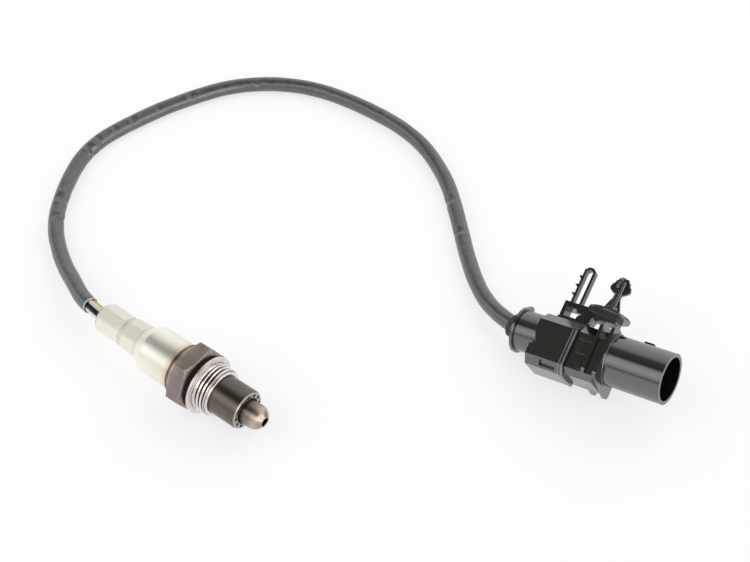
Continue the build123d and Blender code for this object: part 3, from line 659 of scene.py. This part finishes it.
class SENSOR_OT_stage(bpy.types.Operator):
    """Camera, soft studio light, and the pale floor that the part lies on"""
    bl_idname = "sensor.stage"
    bl_label = "Stage"

    def execute(self, context):
        scene = context.scene
        camera = bpy.data.objects.new("Camera", bpy.data.cameras.new("Camera"))
        scene.collection.objects.link(camera)
        camera.data.sensor_width = 36
        camera.data.lens = 67.18
        camera.data.clip_start = 0.01
        camera.location = (0.2304, -0.2008, 0.3772)
        camera.rotation_euler = (math.radians(42.8), 0, math.radians(38.2))
        scene.camera = camera
        scene.view_settings.view_transform = "Standard"
        self.lay_floor(scene)
        self.light_world(scene)
        for name, place in SOFTBOXES.items():
            self.hang_softbox(scene, name, Vector(place))
        return {"FINISHED"}

    @staticmethod
    def whiten(finish):
        """Lets shiny surfaces see white paper, and lightens the camera's view of the shadow."""
        camera, shiny = finish.rays()
        share = finish.sums("MAXIMUM", finish.sums("MULTIPLY", camera, SHADOW_LIFT), shiny)
        white = finish.node("ShaderNodeEmission", Color=(1.0, 1.0, 1.0), Strength=1.0)
        both = finish.filled("ShaderNodeMixShader", share, finish.shader.outputs[0], white)
        finish.feed(finish.tree.nodes["Material Output"].inputs["Surface"], both.outputs[0])

    def lay_floor(self, scene):
        bm = bmesh.new()
        bmesh.ops.create_grid(bm, x_segments=8, y_segments=8, size=FLOOR_REACH)
        mesh = bpy.data.meshes.new("floor")
        bm.to_mesh(mesh)
        bm.free()
        floor = bpy.data.objects.new("floor", mesh)
        floor.location = (0, 0, FLOOR_HEIGHT)
        scene.collection.objects.link(floor)
        finish = Finish("Floor paper", tuple(scene.sensor_colours.backdrop), Roughness=0.9,
                        Specular_IOR_Level=0.0)
        self.whiten(finish)
        mesh.materials.append(finish.material)

    @staticmethod
    def light_world(scene):
        """Even room light; shiny surfaces see a white room with a dark gap between two banks of light."""
        world = scene.world or bpy.data.worlds.new("studio")
        scene.world = world
        world.use_nodes = True
        kit = NodeKit(world.node_tree)
        kit.tree.nodes.clear()
        way = kit.place("Generated")
        lean = kit.sums("DIVIDE", kit.sums("ARCTAN2", kit.sums("MULTIPLY", kit.axis_part(way, "Y"), -1.0),
                                           kit.axis_part(way, "Z")), math.pi)
        banks = kit.mix(1.0, kit.ramp(kit.sums("MULTIPLY_ADD", lean, 0.5, 0.5), *LIGHT_BANKS),
                        kit.ramp(kit.axis_part(way, "X"), *END_BANK), "ADD")
        camera, shiny = kit.rays()
        seen = kit.node("ShaderNodeBackground", Color=(0.97, 0.98, 1.0), Strength=ROOM_LIGHT)
        for share, colour, strength in ((shiny, banks, 2.0), (camera, (1.0, 1.0, 1.0), 1.0)):
            other = kit.node("ShaderNodeBackground", Color=colour, Strength=strength)
            seen = kit.filled("ShaderNodeMixShader", share, seen, other).outputs[0]
        kit.feed(kit.tree.nodes.new("ShaderNodeOutputWorld").inputs["Surface"], seen)

    @staticmethod
    def hang_softbox(scene, name, place):
        lamp = bpy.data.lights.new(name, "AREA")
        lamp.energy, lamp.size = SOFTBOX_WATTS, SOFTBOX_SIZE
        holder = bpy.data.objects.new(name, lamp)
        holder.location = place
        holder.rotation_euler = (Vector(LIT_SPOT) - place).to_track_quat("-Z", "Y").to_euler()
        holder.visible_glossy = False
        scene.collection.objects.link(holder)


# ---- the lead

class SENSOR_OT_lead(bpy.types.Operator):
    """Sheathed lead and its five wires, as they lie between the sensor and the plug"""
    bl_idname = "sensor.lead"
    bl_label = "Lead"

    # (run from the sensor in mm, angle round the sheath, depth, length) of each crease
    creases = [
        (56, 0.7, 0.9, 1.3), (67, 0.9, 0.8, 1.7), (98, 0.6, 1.0, 1.3), (104, 0.9, 0.4, 1.0),
        (113, 0.7, 0.4, 1.0), (122, 0.8, 0.6, 1.3), (134, 0.6, 0.35, 1.0), (150, 0.8, 0.5, 1.5),
        (181, 0.9, 0.4, 1.3), (214, 1.0, 0.45, 1.4), (240, 0.7, 0.4, 1.2), (300, 0.6, 0.5, 1.5),
        (318, 1.0, 0.45, 1.3)]

    # How far (mm) the sheath's mouth stands back from where the lead leaves
    mouth_back = 3.1

    def execute(self, context):
        sizes = context.scene.sensor_sizes
        self.radius, self.wall = sizes.sheath_radius / MM, sizes.sheath_wall / MM
        line = spline_points(LEAD_ROUTE, ROUTE_STEPS)
        self.wires(line, tuple(context.scene.sensor_colours.yellow_wire))
        self.sheath(self.from_mouth(line))
        return {"FINISHED"}

    def skin_radius(self, run, angle):
        """Radius of the sheath at a place on it, with its lumps and creases."""
        y, z = polar(angle)
        lumps = noise.noise(Vector((run / 9, y * 0.8, z * 0.8)))
        ripple = noise.noise(Vector((run / 2.2, y * 1.6 + 7, z * 1.6)))
        radius = self.radius + 0.10 * lumps + 0.045 * ripple
        for place, side, depth, length in self.creases:
            near = math.exp(-((run - place) / length) ** 2)
            if near > 0.01:
                facing = max(0.0, math.cos(angle - side)) ** 2
                swell = math.exp(-((abs(run - place) - 2.2 * length) / length) ** 2)
                radius += facing * (0.35 * depth * swell - depth * near)
        return radius

    def from_mouth(self, line):
        """The line from the sheath's mouth on."""
        run = 0.0
        for k, (point, following) in enumerate(zip(line, line[1:])):
            step = (following - point).length / MM
            if run + step > self.mouth_back:
                return [point.lerp(following, (self.mouth_back - run) / step)] + line[k + 1:]
            run += step
        return line

    def sheath(self, line):
        """Creased skin, with an inner wall and a rounded lip at the mouth."""
        rings, runs = tube_rings(line, self.skin_radius, 44)

        def drawn_in(row, share):
            centre = line[row] / MM
            return [centre + (point - centre) * (1 - share * self.wall / self.radius) for point in rings[row]]

        mouth = [drawn_in(row, 1.0) for row in (12, 8, 4, 1)]
        mouth.append([point + Vector((0.12, 0, 0)) for point in drawn_in(0, 0.5)])
        bm = bmesh.new()
        self.lay_out(bm, skin(bm, mouth + rings), [0.0] * len(mouth) + runs)
        finished_piece("lead_sheath", bm, [sheath_vinyl()], "cable_sleeve", weld=False)

    def lay_out(self, bm, loops, runs):
        """UV map in metres along and round the sheath."""
        mapping = bm.loops.layers.uv.new("run")
        count, girth = len(loops[0]), math.tau * self.radius * MM
        place = {vertex: (run * MM, column) for loop, run in zip(loops, runs)
                 for column, vertex in enumerate(loop)}
        for face in bm.faces:
            columns = [place[corner.vert][1] for corner in face.loops]
            over_seam = max(columns) - min(columns) > count / 2
            for corner in face.loops:
                run, column = place[corner.vert]
                if over_seam and column == 0:
                    column = count
                corner[mapping].uv = (run, girth * column / count)

    def wires(self, line, yellow):
        for name, (seat, pin, lies, twist, colour, worn) in WIRES.items():
            bm = bmesh.new()
            for controls in (self.sensor_run(seat, twist, lies, line), self.plug_run(seat, pin)):
                rings, _ = tube_rings(spline_points(controls, 10), lambda run, angle: WIRE_RADIUS, 14)
                skin(bm, rings)
            finish = wire_vinyl(name.replace("_", " "), colour or yellow, worn)
            finished_piece(f"{name}_run", bm, [finish], name)

    @staticmethod
    def seat_place(seat, twist=0):
        return polar(math.radians(90 + 72 * seat + twist), WIRE_CIRCLE)

    def sensor_run(self, seat, twist, lies, line):
        """Controls of the run from the contact, through the grommet and into the sheath."""
        start = [Vector((x, *self.seat_place(seat, turned_by))) * MM for x, turned_by in (
            (-36.9, 0), (-43.0, 0), (-49.0, twist), (-53.5, twist))]
        seated = Vector((0, *polar(math.radians(lies)))) * SHEATHED_CIRCLE * MM
        return start + [line[k] + seated for k in (14, 24, 38)]

    def plug_run(self, seat, pin):
        """Controls of the run from the gland to the pin."""
        y, z = self.seat_place(seat)
        return [PLUG_FRAME @ (Vector(point) * MM) for point in (
            (y + 0.6, z - 0.25, -60.0), (y, z, -58.1), (y, z, -52.1), (*pin, -39.8), (*pin, -33.55))]


class SENSOR_OT_declare_lead(bpy.types.Operator):
    """Works out the points of the lead's line, a loose cord of its real length with the plug on its far end;
    nothing is declared from them
    """
    bl_idname = "sensor.declare_lead"
    bl_label = "Declare lead"

    def execute(self, context):
        line = spline_points(LEAD_ROUTE, ROUTE_STEPS)
        return {"FINISHED"}


# ---- metal pieces

class SENSOR_OT_threaded_body(bpy.types.Operator):
    """Hexagon, collars and thread"""
    bl_idname = "sensor.threaded_body"
    bl_label = "Threaded body"
    count = 144

    def execute(self, context):
        sizes = context.scene.sensor_sizes
        bm = bmesh.new()
        self.hexagon(bm, sizes.corner_rounding / MM)
        # The collar in front of the hexagon takes finish 3, nearly black: painted shade in the gap before the
        # gasket.
        turned(bm, [(HEX_FRONT - 1, 8.5), (HEX_FRONT - 1, COLLAR_RADIUS), (COLLAR_FRONT, COLLAR_RADIUS, 0.25),
                    (COLLAR_FRONT, 8.6)], self.count, finish=3)
        turned(bm, [(HEX_REAR + 1, 8.0), (HEX_REAR + 1, 10.05), (HEX_REAR - 0.55, 10.05, 0.2),
                    (HEX_REAR - 0.75, 9.5, 0.1), (LAND_REAR + 0.3, 9.5, 0.2), (LAND_REAR, 9.15, 0.1),
                    (LAND_REAR, 8.0)], self.count)
        self.thread(bm, sizes.thread_pitch / MM, THREAD_CREST - sizes.thread_depth / MM)
        nose = bare_metal("Turned nose", (0.76, 0.70, 0.67), (0.50, 0.45, 0.42))
        # Nearly black finish for the collar: painted shade in the gap between the hexagon and the gasket.
        painted_shade = soft_rubber("Burnt oil in the gap", (0.010, 0.006, 0.004), 0.12)
        finished_piece("threaded_body", bm, [plated_steel(), thread_steel(), nose, painted_shade], "hex_housing",
                       sharp=28)
        return {"FINISHED"}

    @staticmethod
    def hexagon(bm, corner):
        """Hexagon between two cones that cut its corners, with every edge rounded a little."""
        outline = []
        flat = HEX_ACROSS / 2
        centre = (flat - corner) / math.cos(math.radians(30))
        reach = centre * math.sin(math.radians(30))
        for turn in range(0, 360, 60):
            middle = Vector(polar(math.radians(turn))) * centre
            for swing in range(turn - 30, turn + 31, 15):
                outline.append(middle + Vector(polar(math.radians(swing))) * corner)
            out = Vector(polar(math.radians(turn + 30)))
            along = Vector((-out.y, out.x))
            for step in range(1, 22):
                outline.append(out * flat + along * reach * (step / 11 - 1))
        slope, edge = math.tan(HEX_BEVEL), 0.13
        rings = []
        for face, inward in ((HEX_FRONT, -1), (HEX_REAR, 1)):
            rows = [[] for _ in range(6)]
            for point in outline:
                radius, way = point.length, point.normalized()
                drop = (radius - COLLAR_RADIUS) * slope
                near = min(edge, 0.4 * (radius - COLLAR_RADIUS))
                for row, (r, x) in zip(rows, (
                        (COLLAR_RADIUS - 0.35, 0.0), (COLLAR_RADIUS, 0.03),
                        (radius - near, drop - near * slope), (radius - 0.35 * near, drop - 0.12 * near),
                        (radius, drop + near), (radius, 3.2))):
                    row.append((face + inward * x, *(way * r)))
            rings.append(rows)
        skin(bm, rings[0] + list(reversed(rings[1])))

    def thread(self, bm, pitch, root):
        """Right-handed thread whose mesh lines follow the helix, so that its crests are crisp."""
        steps = 14
        rear, front = 0.05, THREAD_FRONT
        section = []
        for k in range(steps):
            ramp = min(1.0, max(0.0, (abs(k / steps - 0.5) * 2 - 0.10) / 0.56))
            section.append(root + (THREAD_CREST - root) * ramp ** 0.9)
        turns = int((front - rear) / pitch) + 3
        grid = []
        for c in range(self.count):
            column = []
            for k in range(-steps, turns * steps):
                x = rear + pitch * (k / steps + c / self.count)
                limit = THREAD_CREST - max(0.0, 0.75 * (x - (front - 0.75)))
                land = THREAD_CREST + 0.04 - max(0.0, 1.6 * (x - 0.85))
                radius = max(min(section[k % steps], limit), land) if rear < x < front else root
                spot = (min(max(x, rear), front), *polar(math.tau * c / self.count, radius))
                column.append(bm.verts.new(Vector(spot) * MM))
            grid.append(column)
        for one, other in zip(grid, grid[1:] + [grid[0][steps:]]):
            for k in range(min(len(one), len(other)) - 1):
                bm.faces.new((one[k], one[k + 1], other[k + 1], other[k])).material_index = 1
        turned(bm, [(COLLAR_FRONT, 6.5), (COLLAR_FRONT, 8.6), (0.0, 8.6), (rear, root)], self.count,
               ends=False, finish=1)
        turned(bm, [(front, root), (front, 8.5), (NOSE_FRONT, 8.3, 0.3), (NOSE_FRONT, 7.35, 0.15),
                    (4.5, 7.35), (4.5, 6.5)], self.count, ends=False, finish=2)


class SENSOR_OT_gasket(bpy.types.Operator):
    """Captive sealing ring on the seat"""
    bl_idname = "sensor.gasket"
    bl_label = "Gasket"

    def execute(self, context):
        bm = bmesh.new()
        rim = GASKET_RADIUS
        turned(bm, [(-0.93, 9.15), (-0.93, rim, 0.3), (-0.62, rim, 0.1), (-0.52, rim - 0.12, 0.08),
                    (-0.42, rim, 0.1), (-0.04, rim, 0.3), (0.0, 10.35, 0.1), (-0.12, 10.15, 0.08),
                    (0.0, 9.95, 0.1), (0.0, 9.6, 0.1), (-0.12, 9.42, 0.08), (-0.02, 9.15, 0.1)], 144,
               closed=True)
        finished_piece("sealing_gasket", bm, [gasket_steel()], "seat_gasket", sharp=50)
        return {"FINISHED"}


class SENSOR_OT_guard(bpy.types.Operator):
    """Pierced protection tube with its bronze tip"""
    bl_idname = "sensor.guard"
    bl_label = "Protection tube"
    holes = 12
    first_hole = math.radians(79.6)
    count = 144

    # Radii of the pierced ring and of the bore behind it, and the station of the ring's back
    inner, outer, bore = 5.08, 6.62, 6.8
    back = GUARD_FRONT - 0.5

    def execute(self, context):
        bm = bmesh.new()
        face, back, inner, outer, bore = GUARD_FRONT, self.back, self.inner, self.outer, self.bore

        def ring(finish, *profile, steps=3):
            turned(bm, profile, self.count, ends=False, finish=finish,
                   first=self.first_hole - math.pi / self.holes, steps=steps)

        ring(0, (GUARD_REAR, bore), (GUARD_REAR, GUARD_RADIUS), (face - 0.75, GUARD_RADIUS, 0.7),
             (face, outer + 0.05, 0.12), (face, outer), steps=5)
        ring(1, (face, inner), (face, inner - 0.1, 0.06), (face - 0.15, inner - 0.15))
        ring(2, (face - 0.15, inner - 0.15), (face - 0.6, inner - 0.2, 0.1),
             (face - 0.6, TIP_RADIUS + 0.08, 0.1), (face + 0.25, TIP_RADIUS, 0.1))
        dome = [(TIP_STRAIGHT_END + 3.9 * t, TIP_RADIUS - 2.6 * t + 0.75 * math.sin(math.pi * t)) for t in
                [k / 14 for k in range(1, 14)]]
        ring(2, (face + 0.25, TIP_RADIUS), (TIP_STRAIGHT_END, TIP_RADIUS), *dome, (TIP_END, 1.98),
             (TIP_END, 1.78), (TIP_END - 0.12, TIP_HOLE))
        # Finish 3, nearly black, on the tip's hole, the inside of the tip and the back of the face: painted
        # shade inside the guard.
        ring(3, (TIP_END - 0.12, TIP_HOLE), (TIP_END - 0.9, TIP_HOLE), (TIP_END - 1.0, 2.2),
             (TIP_STRAIGHT_END, 4.0), (face - 0.2, 4.0))
        ring(3, (back, outer), (back, bore), (GUARD_REAR, bore))
        ring(3, (face - 0.2, 4.0), (face - 0.9, 4.0), (face - 0.9, inner), (back, inner))
        self.pierced_face(bm)
        # Nearly black finish: painted shade inside the guard and its holes.
        painted_shade = soft_rubber("Soot inside the guard", (0.004, 0.004, 0.004), 0.15)
        finished_piece("protection_tube", bm, [guard_steel(), guard_face_steel(), tip_bronze(), painted_shade],
                       "outer_guard_tube", sharp=40)
        return {"FINISHED"}

    def pierced_face(self, bm):
        """Ring of twelve equal sectors, each drawn round its own hole."""
        face, back, steps = GUARD_FRONT, self.back, self.count // self.holes
        half = math.pi / self.holes
        for k in range(self.holes):
            middle = self.first_hole + 2 * half * k
            swing = [middle - half + 2 * half * s / steps for s in range(steps + 1)]
            edge = []
            for start, end, turns in ((self.outer, self.inner, swing), (self.inner, self.outer, swing[::-1])):
                edge += [(start, turn) for turn in turns]
                edge += [(start + (end - start) * s / 4, turns[-1]) for s in range(1, 4)]
            border = [polar(angle, radius) for radius, angle in edge]
            centre = Vector(polar(middle, HOLE_CIRCLE))
            ways = [(Vector(point) - centre).normalized() for point in border]
            rings = [[(face, *point) for point in border]]
            for x, radius in ((face, 0.66), (face - 0.03, 0.62), (back, 0.62)):
                rings.append([(x, *(centre + way * radius)) for way in ways])
            rings.append([(back, *point) for point in border])
            skin(bm, rings[:3], ends=False, finish=1)
            # The holes' walls take finish 3: painted shade in the holes.
            skin(bm, rings[2:], ends=False, finish=3)


class SENSOR_OT_sleeve(bpy.types.Operator):
    """Pale metal sleeve over the rear half, flared, crimped and grooved"""
    bl_idname = "sensor.sleeve"
    bl_label = "Metal sleeve"
    count = 160

    # (station, radius or half width across flats, how far the round is pressed to an octagon)
    stations = [
        (LAND_REAR - 0.02, 8.4, 0), (LAND_REAR - 0.02, 8.85, 0), (LAND_REAR - 0.12, 9.0, 0),
        (-18, 9.0, 0), (-25.4, 9.0, 0), (-25.9, 8.97, 0), (-26.3, 8.84, 0), (-26.7, 8.62, 0),
        (-28.0, 7.72, 0), (-29.3, 6.85, 0), (-29.8, 6.58, 0.15), (-30.2, 6.40, 0.45), (-30.7, 6.22, 0.85),
        (-31.3, 6.13, 1), (-34, 6.10, 1), (-36.6, 6.10, 1), (-37.2, 6.06, 0.85), (-37.6, 5.85, 0.4),
        (-37.9, 5.45, 0), (-38.15, 5.35, 0), (-38.8, 5.35, 0), (-39.1, 5.42, 0), (-39.45, 5.62, 0.5),
        (-40.0, 5.66, 0.9), (-40.8, 5.65, 1), (-45, 5.65, 1), (-48.6, 5.65, 1), (-49.2, 5.60, 0.8),
        (-49.7, 5.50, 0.3), (-50.2, 5.36, 0), (-50.6, 5.12, 0), (-50.85, 4.90, 0), (SLEEVE_END, 4.75, 0),
        (-50.8, 4.62, 0), (-50.0, 4.60, 0), (-46.0, 4.60, 0), (-38.0, 4.62, 0), (-37.3, 4.7, 0),
        (-36.9, 5.5, 0), (-30.5, 5.7, 0), (-28.2, 6.6, 0), (-26.0, 8.2, 0), (-13.0, 8.4, 0)]

    # How far the octagon's corners reach, and how sharply they are cut off there
    corner_reach = 1.062
    corner_cut = 160

    def execute(self, context):
        bm = bmesh.new()
        skin(bm, [[(x, *self.section(radius, press, k)) for k in range(self.count)]
                  for x, radius, press in self.stations], closed=True)
        finished_piece("metal_sleeve", bm, [sleeve_steel()], "body_sleeve", sharp=60)
        return {"FINISHED"}

    def section(self, radius, press, k):
        """Point of a round section pressed part of the way to an octagon."""
        angle = math.tau * k / self.count
        flat = 1 / math.cos((angle % (math.pi / 4)) - math.pi / 8)
        over = math.log1p(math.exp((self.corner_reach - flat) * self.corner_cut)) / self.corner_cut
        return polar(angle, radius * (1 + press * (self.corner_reach - over - 1)))


class SENSOR_OT_grommet(bpy.types.Operator):
    """Rubber grommet in the sleeve's tail"""
    bl_idname = "sensor.grommet"
    bl_label = "Grommet"

    def execute(self, context):
        bm = bmesh.new()
        end = SLEEVE_END
        turned(bm, [(GROMMET_FRONT, 1.0), (GROMMET_FRONT, 4.5, 0.3), (end + 0.3, 4.5, 0.5),
                    (end + 0.55, 3.7, 0.3), (end + 0.05, 3.0, 0.3), (end + 0.05, 1.0)], 96)
        finished_piece("tail_grommet", bm, [soft_rubber("Grommet rubber", (0.02, 0.02, 0.02))],
                       "cable_grommet")
        return {"FINISHED"}


# ---- the plug

def moulded_copy(name, node, finish, paler, edge, extra=None):
    """Moulding drawn from a CAD node's faces, with its edges rounded and a little lighter: partly rubbed,
    partly a painted highlight.
    """
    bm = bmesh.new()
    bm.from_mesh(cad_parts[node].data)
    bmesh.ops.remove_doubles(bm, verts=bm.verts, dist=2 * WELD_REACH * MM)
    bmesh.ops.dissolve_limit(bm, angle_limit=math.radians(0.6), verts=bm.verts, edges=bm.edges)
    if extra:
        extra(bm)
    piece = finished_piece(name, bm, [finish, paler], node, sharp=30)
    rounding = piece.modifiers.new("edge rounding", "BEVEL")
    # The rounded edges take the paler finish: partly rubbing, partly a painted highlight.
    rounding.material = 1
    rounding.width, rounding.segments = edge, 2
    rounding.limit_method, rounding.angle_limit = "ANGLE", math.radians(28)
    rounding.use_clamp_overlap = True
    rounding.harden_normals = True


class SENSOR_OT_plug(bpy.types.Operator):
    """Plug housing, rear cover and the soft gland that the lead goes into"""
    bl_idname = "sensor.plug"
    bl_label = "Plug"

    def execute(self, context):
        scene = context.scene
        black = tuple(scene.sensor_colours.plug_black)
        edge = scene.sensor_sizes.moulding_edge
        # Paler finish for the rounded edges and the cover's lips: partly rubbed, partly a painted highlight.
        paler = satin_moulding("Rubbed moulding edge", tuple(part + 0.12 for part in black), 0.2)
        moulded_copy("plug_housing", "connector_housing", satin_moulding("Housing moulding", black, 0.15),
                     paler, edge, self.bead)
        moulded_copy("plug_cover", "rear_cover", satin_moulding("Cover moulding", black, 0.18),
                     paler, edge, self.front_lips)
        gland = soft_rubber("Gland rubber", (0.022, 0.022, 0.023))
        moulded_copy("gland_collar", "cable_gland", gland, gland, edge)
        return {"FINISHED"}

    @staticmethod
    def bead(bm):
        """Bead at the foot of the shroud."""
        to_plug(bm, turned(bm, [(-21.6, 8.9), (-21.6, 9.5), (-20.9, 9.5), (-20.75, 9.35), (-20.75, 8.9)], 96,
                           closed=True), AXIS_TO_MOUTH)

    @staticmethod
    def front_lips(bm):
        """Two thin lips round the front of the cover, on its flat face, its bevel and its side."""
        corners = {(3.6, 9.4): (0, 1), (-9.75, 9.4): (-0.3465, 0.9975), (-12.4, 6.05): (-0.9975, 0.3465),
                   (-12.4, -4.8): (-1, 0)}
        for rear, front, height in ((-34.35, -33.65, 0.42), (-35.5, -35.1, 0.22)):
            rings = []
            for foot, out in corners.items():
                top = Vector(foot) + Vector(out) * height
                rings.append([(*foot, rear), (*top, rear), (*top, front), (*foot, front)])
            # The lips take the paler finish as a painted highlight on their lit side.
            to_plug(bm, skin(bm, rings, finish=1))


class SENSOR_OT_clip(bpy.types.Operator):
    """Harness clip with its buckle, ladder strap, disc and push-in stud"""
    bl_idname = "sensor.clip"
    bl_label = "Harness clip"

    def execute(self, context):
        # The clip's rounded edges take a paler nylon finish: partly rubbed, partly a painted highlight.
        moulded_copy("harness_clip_moulding", "harness_clip",
                     satin_moulding("Clip nylon", (0.008, 0.0075, 0.007), 0.22, 1.8),
                     satin_moulding("Rubbed nylon edge", (0.10, 0.10, 0.097), 0.25, 2.0),
                     0.4 * context.scene.sensor_sizes.moulding_edge, self.stud_detail)
        return {"FINISHED"}

    @staticmethod
    def stud_detail(bm):
        """Ribbed foot of the stud, and the small teeth on the edges of its barbs."""
        foot = [(15.2, 1.2), (15.2, 2.5)]
        for k in range(3):
            foot += [(15.8 + k, 2.5), (15.8 + k, 2.1), (16.2 + k, 2.1), (16.2 + k, 2.5 - 0.2 * k)]
        made = skin(bm, turned_rings(foot + [(18.6, 1.2)], 8, math.pi / 8))
        teeth = [((23.1, 1.3), (23.7, 2.9), (24.2, 1.3)), ((26.3, 2.6), (26.3, 3.9), (27.5, 2.3)),
                 ((27.8, 1.9), (27.8, 3.0), (28.9, 1.6))]
        for turn in range(4):
            out = polar(math.tau * turn / 4)
            for tooth in teeth:
                made += skin(bm, [[(x, r * out[0] - side * out[1], r * out[1] + side * out[0])
                                   for x, r in tooth] for side in (-0.5, 0.5)])
        to_plug(bm, made, Matrix.Translation((0, 0, CLIP_STATION * MM)))


class SENSOR_OT_inside(bpy.types.Operator):
    """Finishes of the CAD pieces that keep their own shape"""
    bl_idname = "sensor.inside"
    bl_label = "Inner pieces"

    def execute(self, context):
        ceramic = fired_ceramic("Insulator ceramic", (0.80, 0.77, 0.70))
        for node, finish in {
                "inner_guard_tube": bare_metal("Inner guard steel", (0.45, 0.40, 0.35), (0.22, 0.18, 0.15)),
                "sensing_element": fired_ceramic("Element ceramic", (0.78, 0.78, 0.74)),
                "lower_insulator": ceramic, "upper_insulator": ceramic,
                "seal_packing": fired_ceramic("Packed powder", (0.50, 0.48, 0.43)),
                "contact_holder": fired_ceramic("Holder ceramic", (0.66, 0.63, 0.57)),
                "contact_springs": bare_metal("Spring alloy", (0.72, 0.66, 0.55), (0.45, 0.40, 0.33)),
                "wire_seal": soft_rubber("Seal rubber", (0.26, 0.04, 0.025)),
                "pin_carrier": satin_moulding("Carrier moulding", (0.02, 0.02, 0.02), 0.4),
                "contact_pins": bare_metal("Tin-plated brass", (0.76, 0.70, 0.58), (0.50, 0.44, 0.34)),
                "secondary_lock": satin_moulding("Lock moulding", (0.03, 0.03, 0.03), 0.4),
                "trim_resistor": fired_ceramic("Resistor glaze", (0.04, 0.10, 0.06))}.items():
            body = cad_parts[node]
            body.data.materials.clear()
            body.data.materials.append(finish)
        return {"FINISHED"}


class SENSOR_PT_maker(bpy.types.Panel):
    """Lists the sensor's pieces and settings"""
    bl_label = "Oxygen Sensor"
    bl_idname = "SENSOR_PT_maker"
    bl_space_type = "VIEW_3D"
    bl_region_type = "UI"
    bl_category = "Oxygen Sensor"

    def draw(self, context):
        for piece in PIECES:
            self.layout.operator(piece.bl_idname)
        for group in (context.scene.sensor_sizes, context.scene.sensor_colours):
            for name in group.bl_rna.properties.keys():
                if name not in ("rna_type", "name"):
                    self.layout.prop(group, name)


PIECES = (SENSOR_OT_stage, SENSOR_OT_lead, SENSOR_OT_threaded_body, SENSOR_OT_gasket, SENSOR_OT_guard,
          SENSOR_OT_sleeve, SENSOR_OT_grommet, SENSOR_OT_plug, SENSOR_OT_clip, SENSOR_OT_inside,
          SENSOR_OT_declare_lead)
CLASSES = (SensorSizes, SensorColours, *PIECES, SENSOR_PT_maker)


def register():
    for kind in CLASSES:
        bpy.utils.register_class(kind)
    bpy.types.Scene.sensor_sizes = bpy.props.PointerProperty(type=SensorSizes)
    bpy.types.Scene.sensor_colours = bpy.props.PointerProperty(type=SensorColours)


def unregister():
    del bpy.types.Scene.sensor_sizes
    del bpy.types.Scene.sensor_colours
    for kind in reversed(CLASSES):
        bpy.utils.unregister_class(kind)


def main():
    register()
    for piece in PIECES:
        group, name = piece.bl_idname.split(".")
        getattr(getattr(bpy.ops, group), name)()


if __name__ == "__main__":
    main()
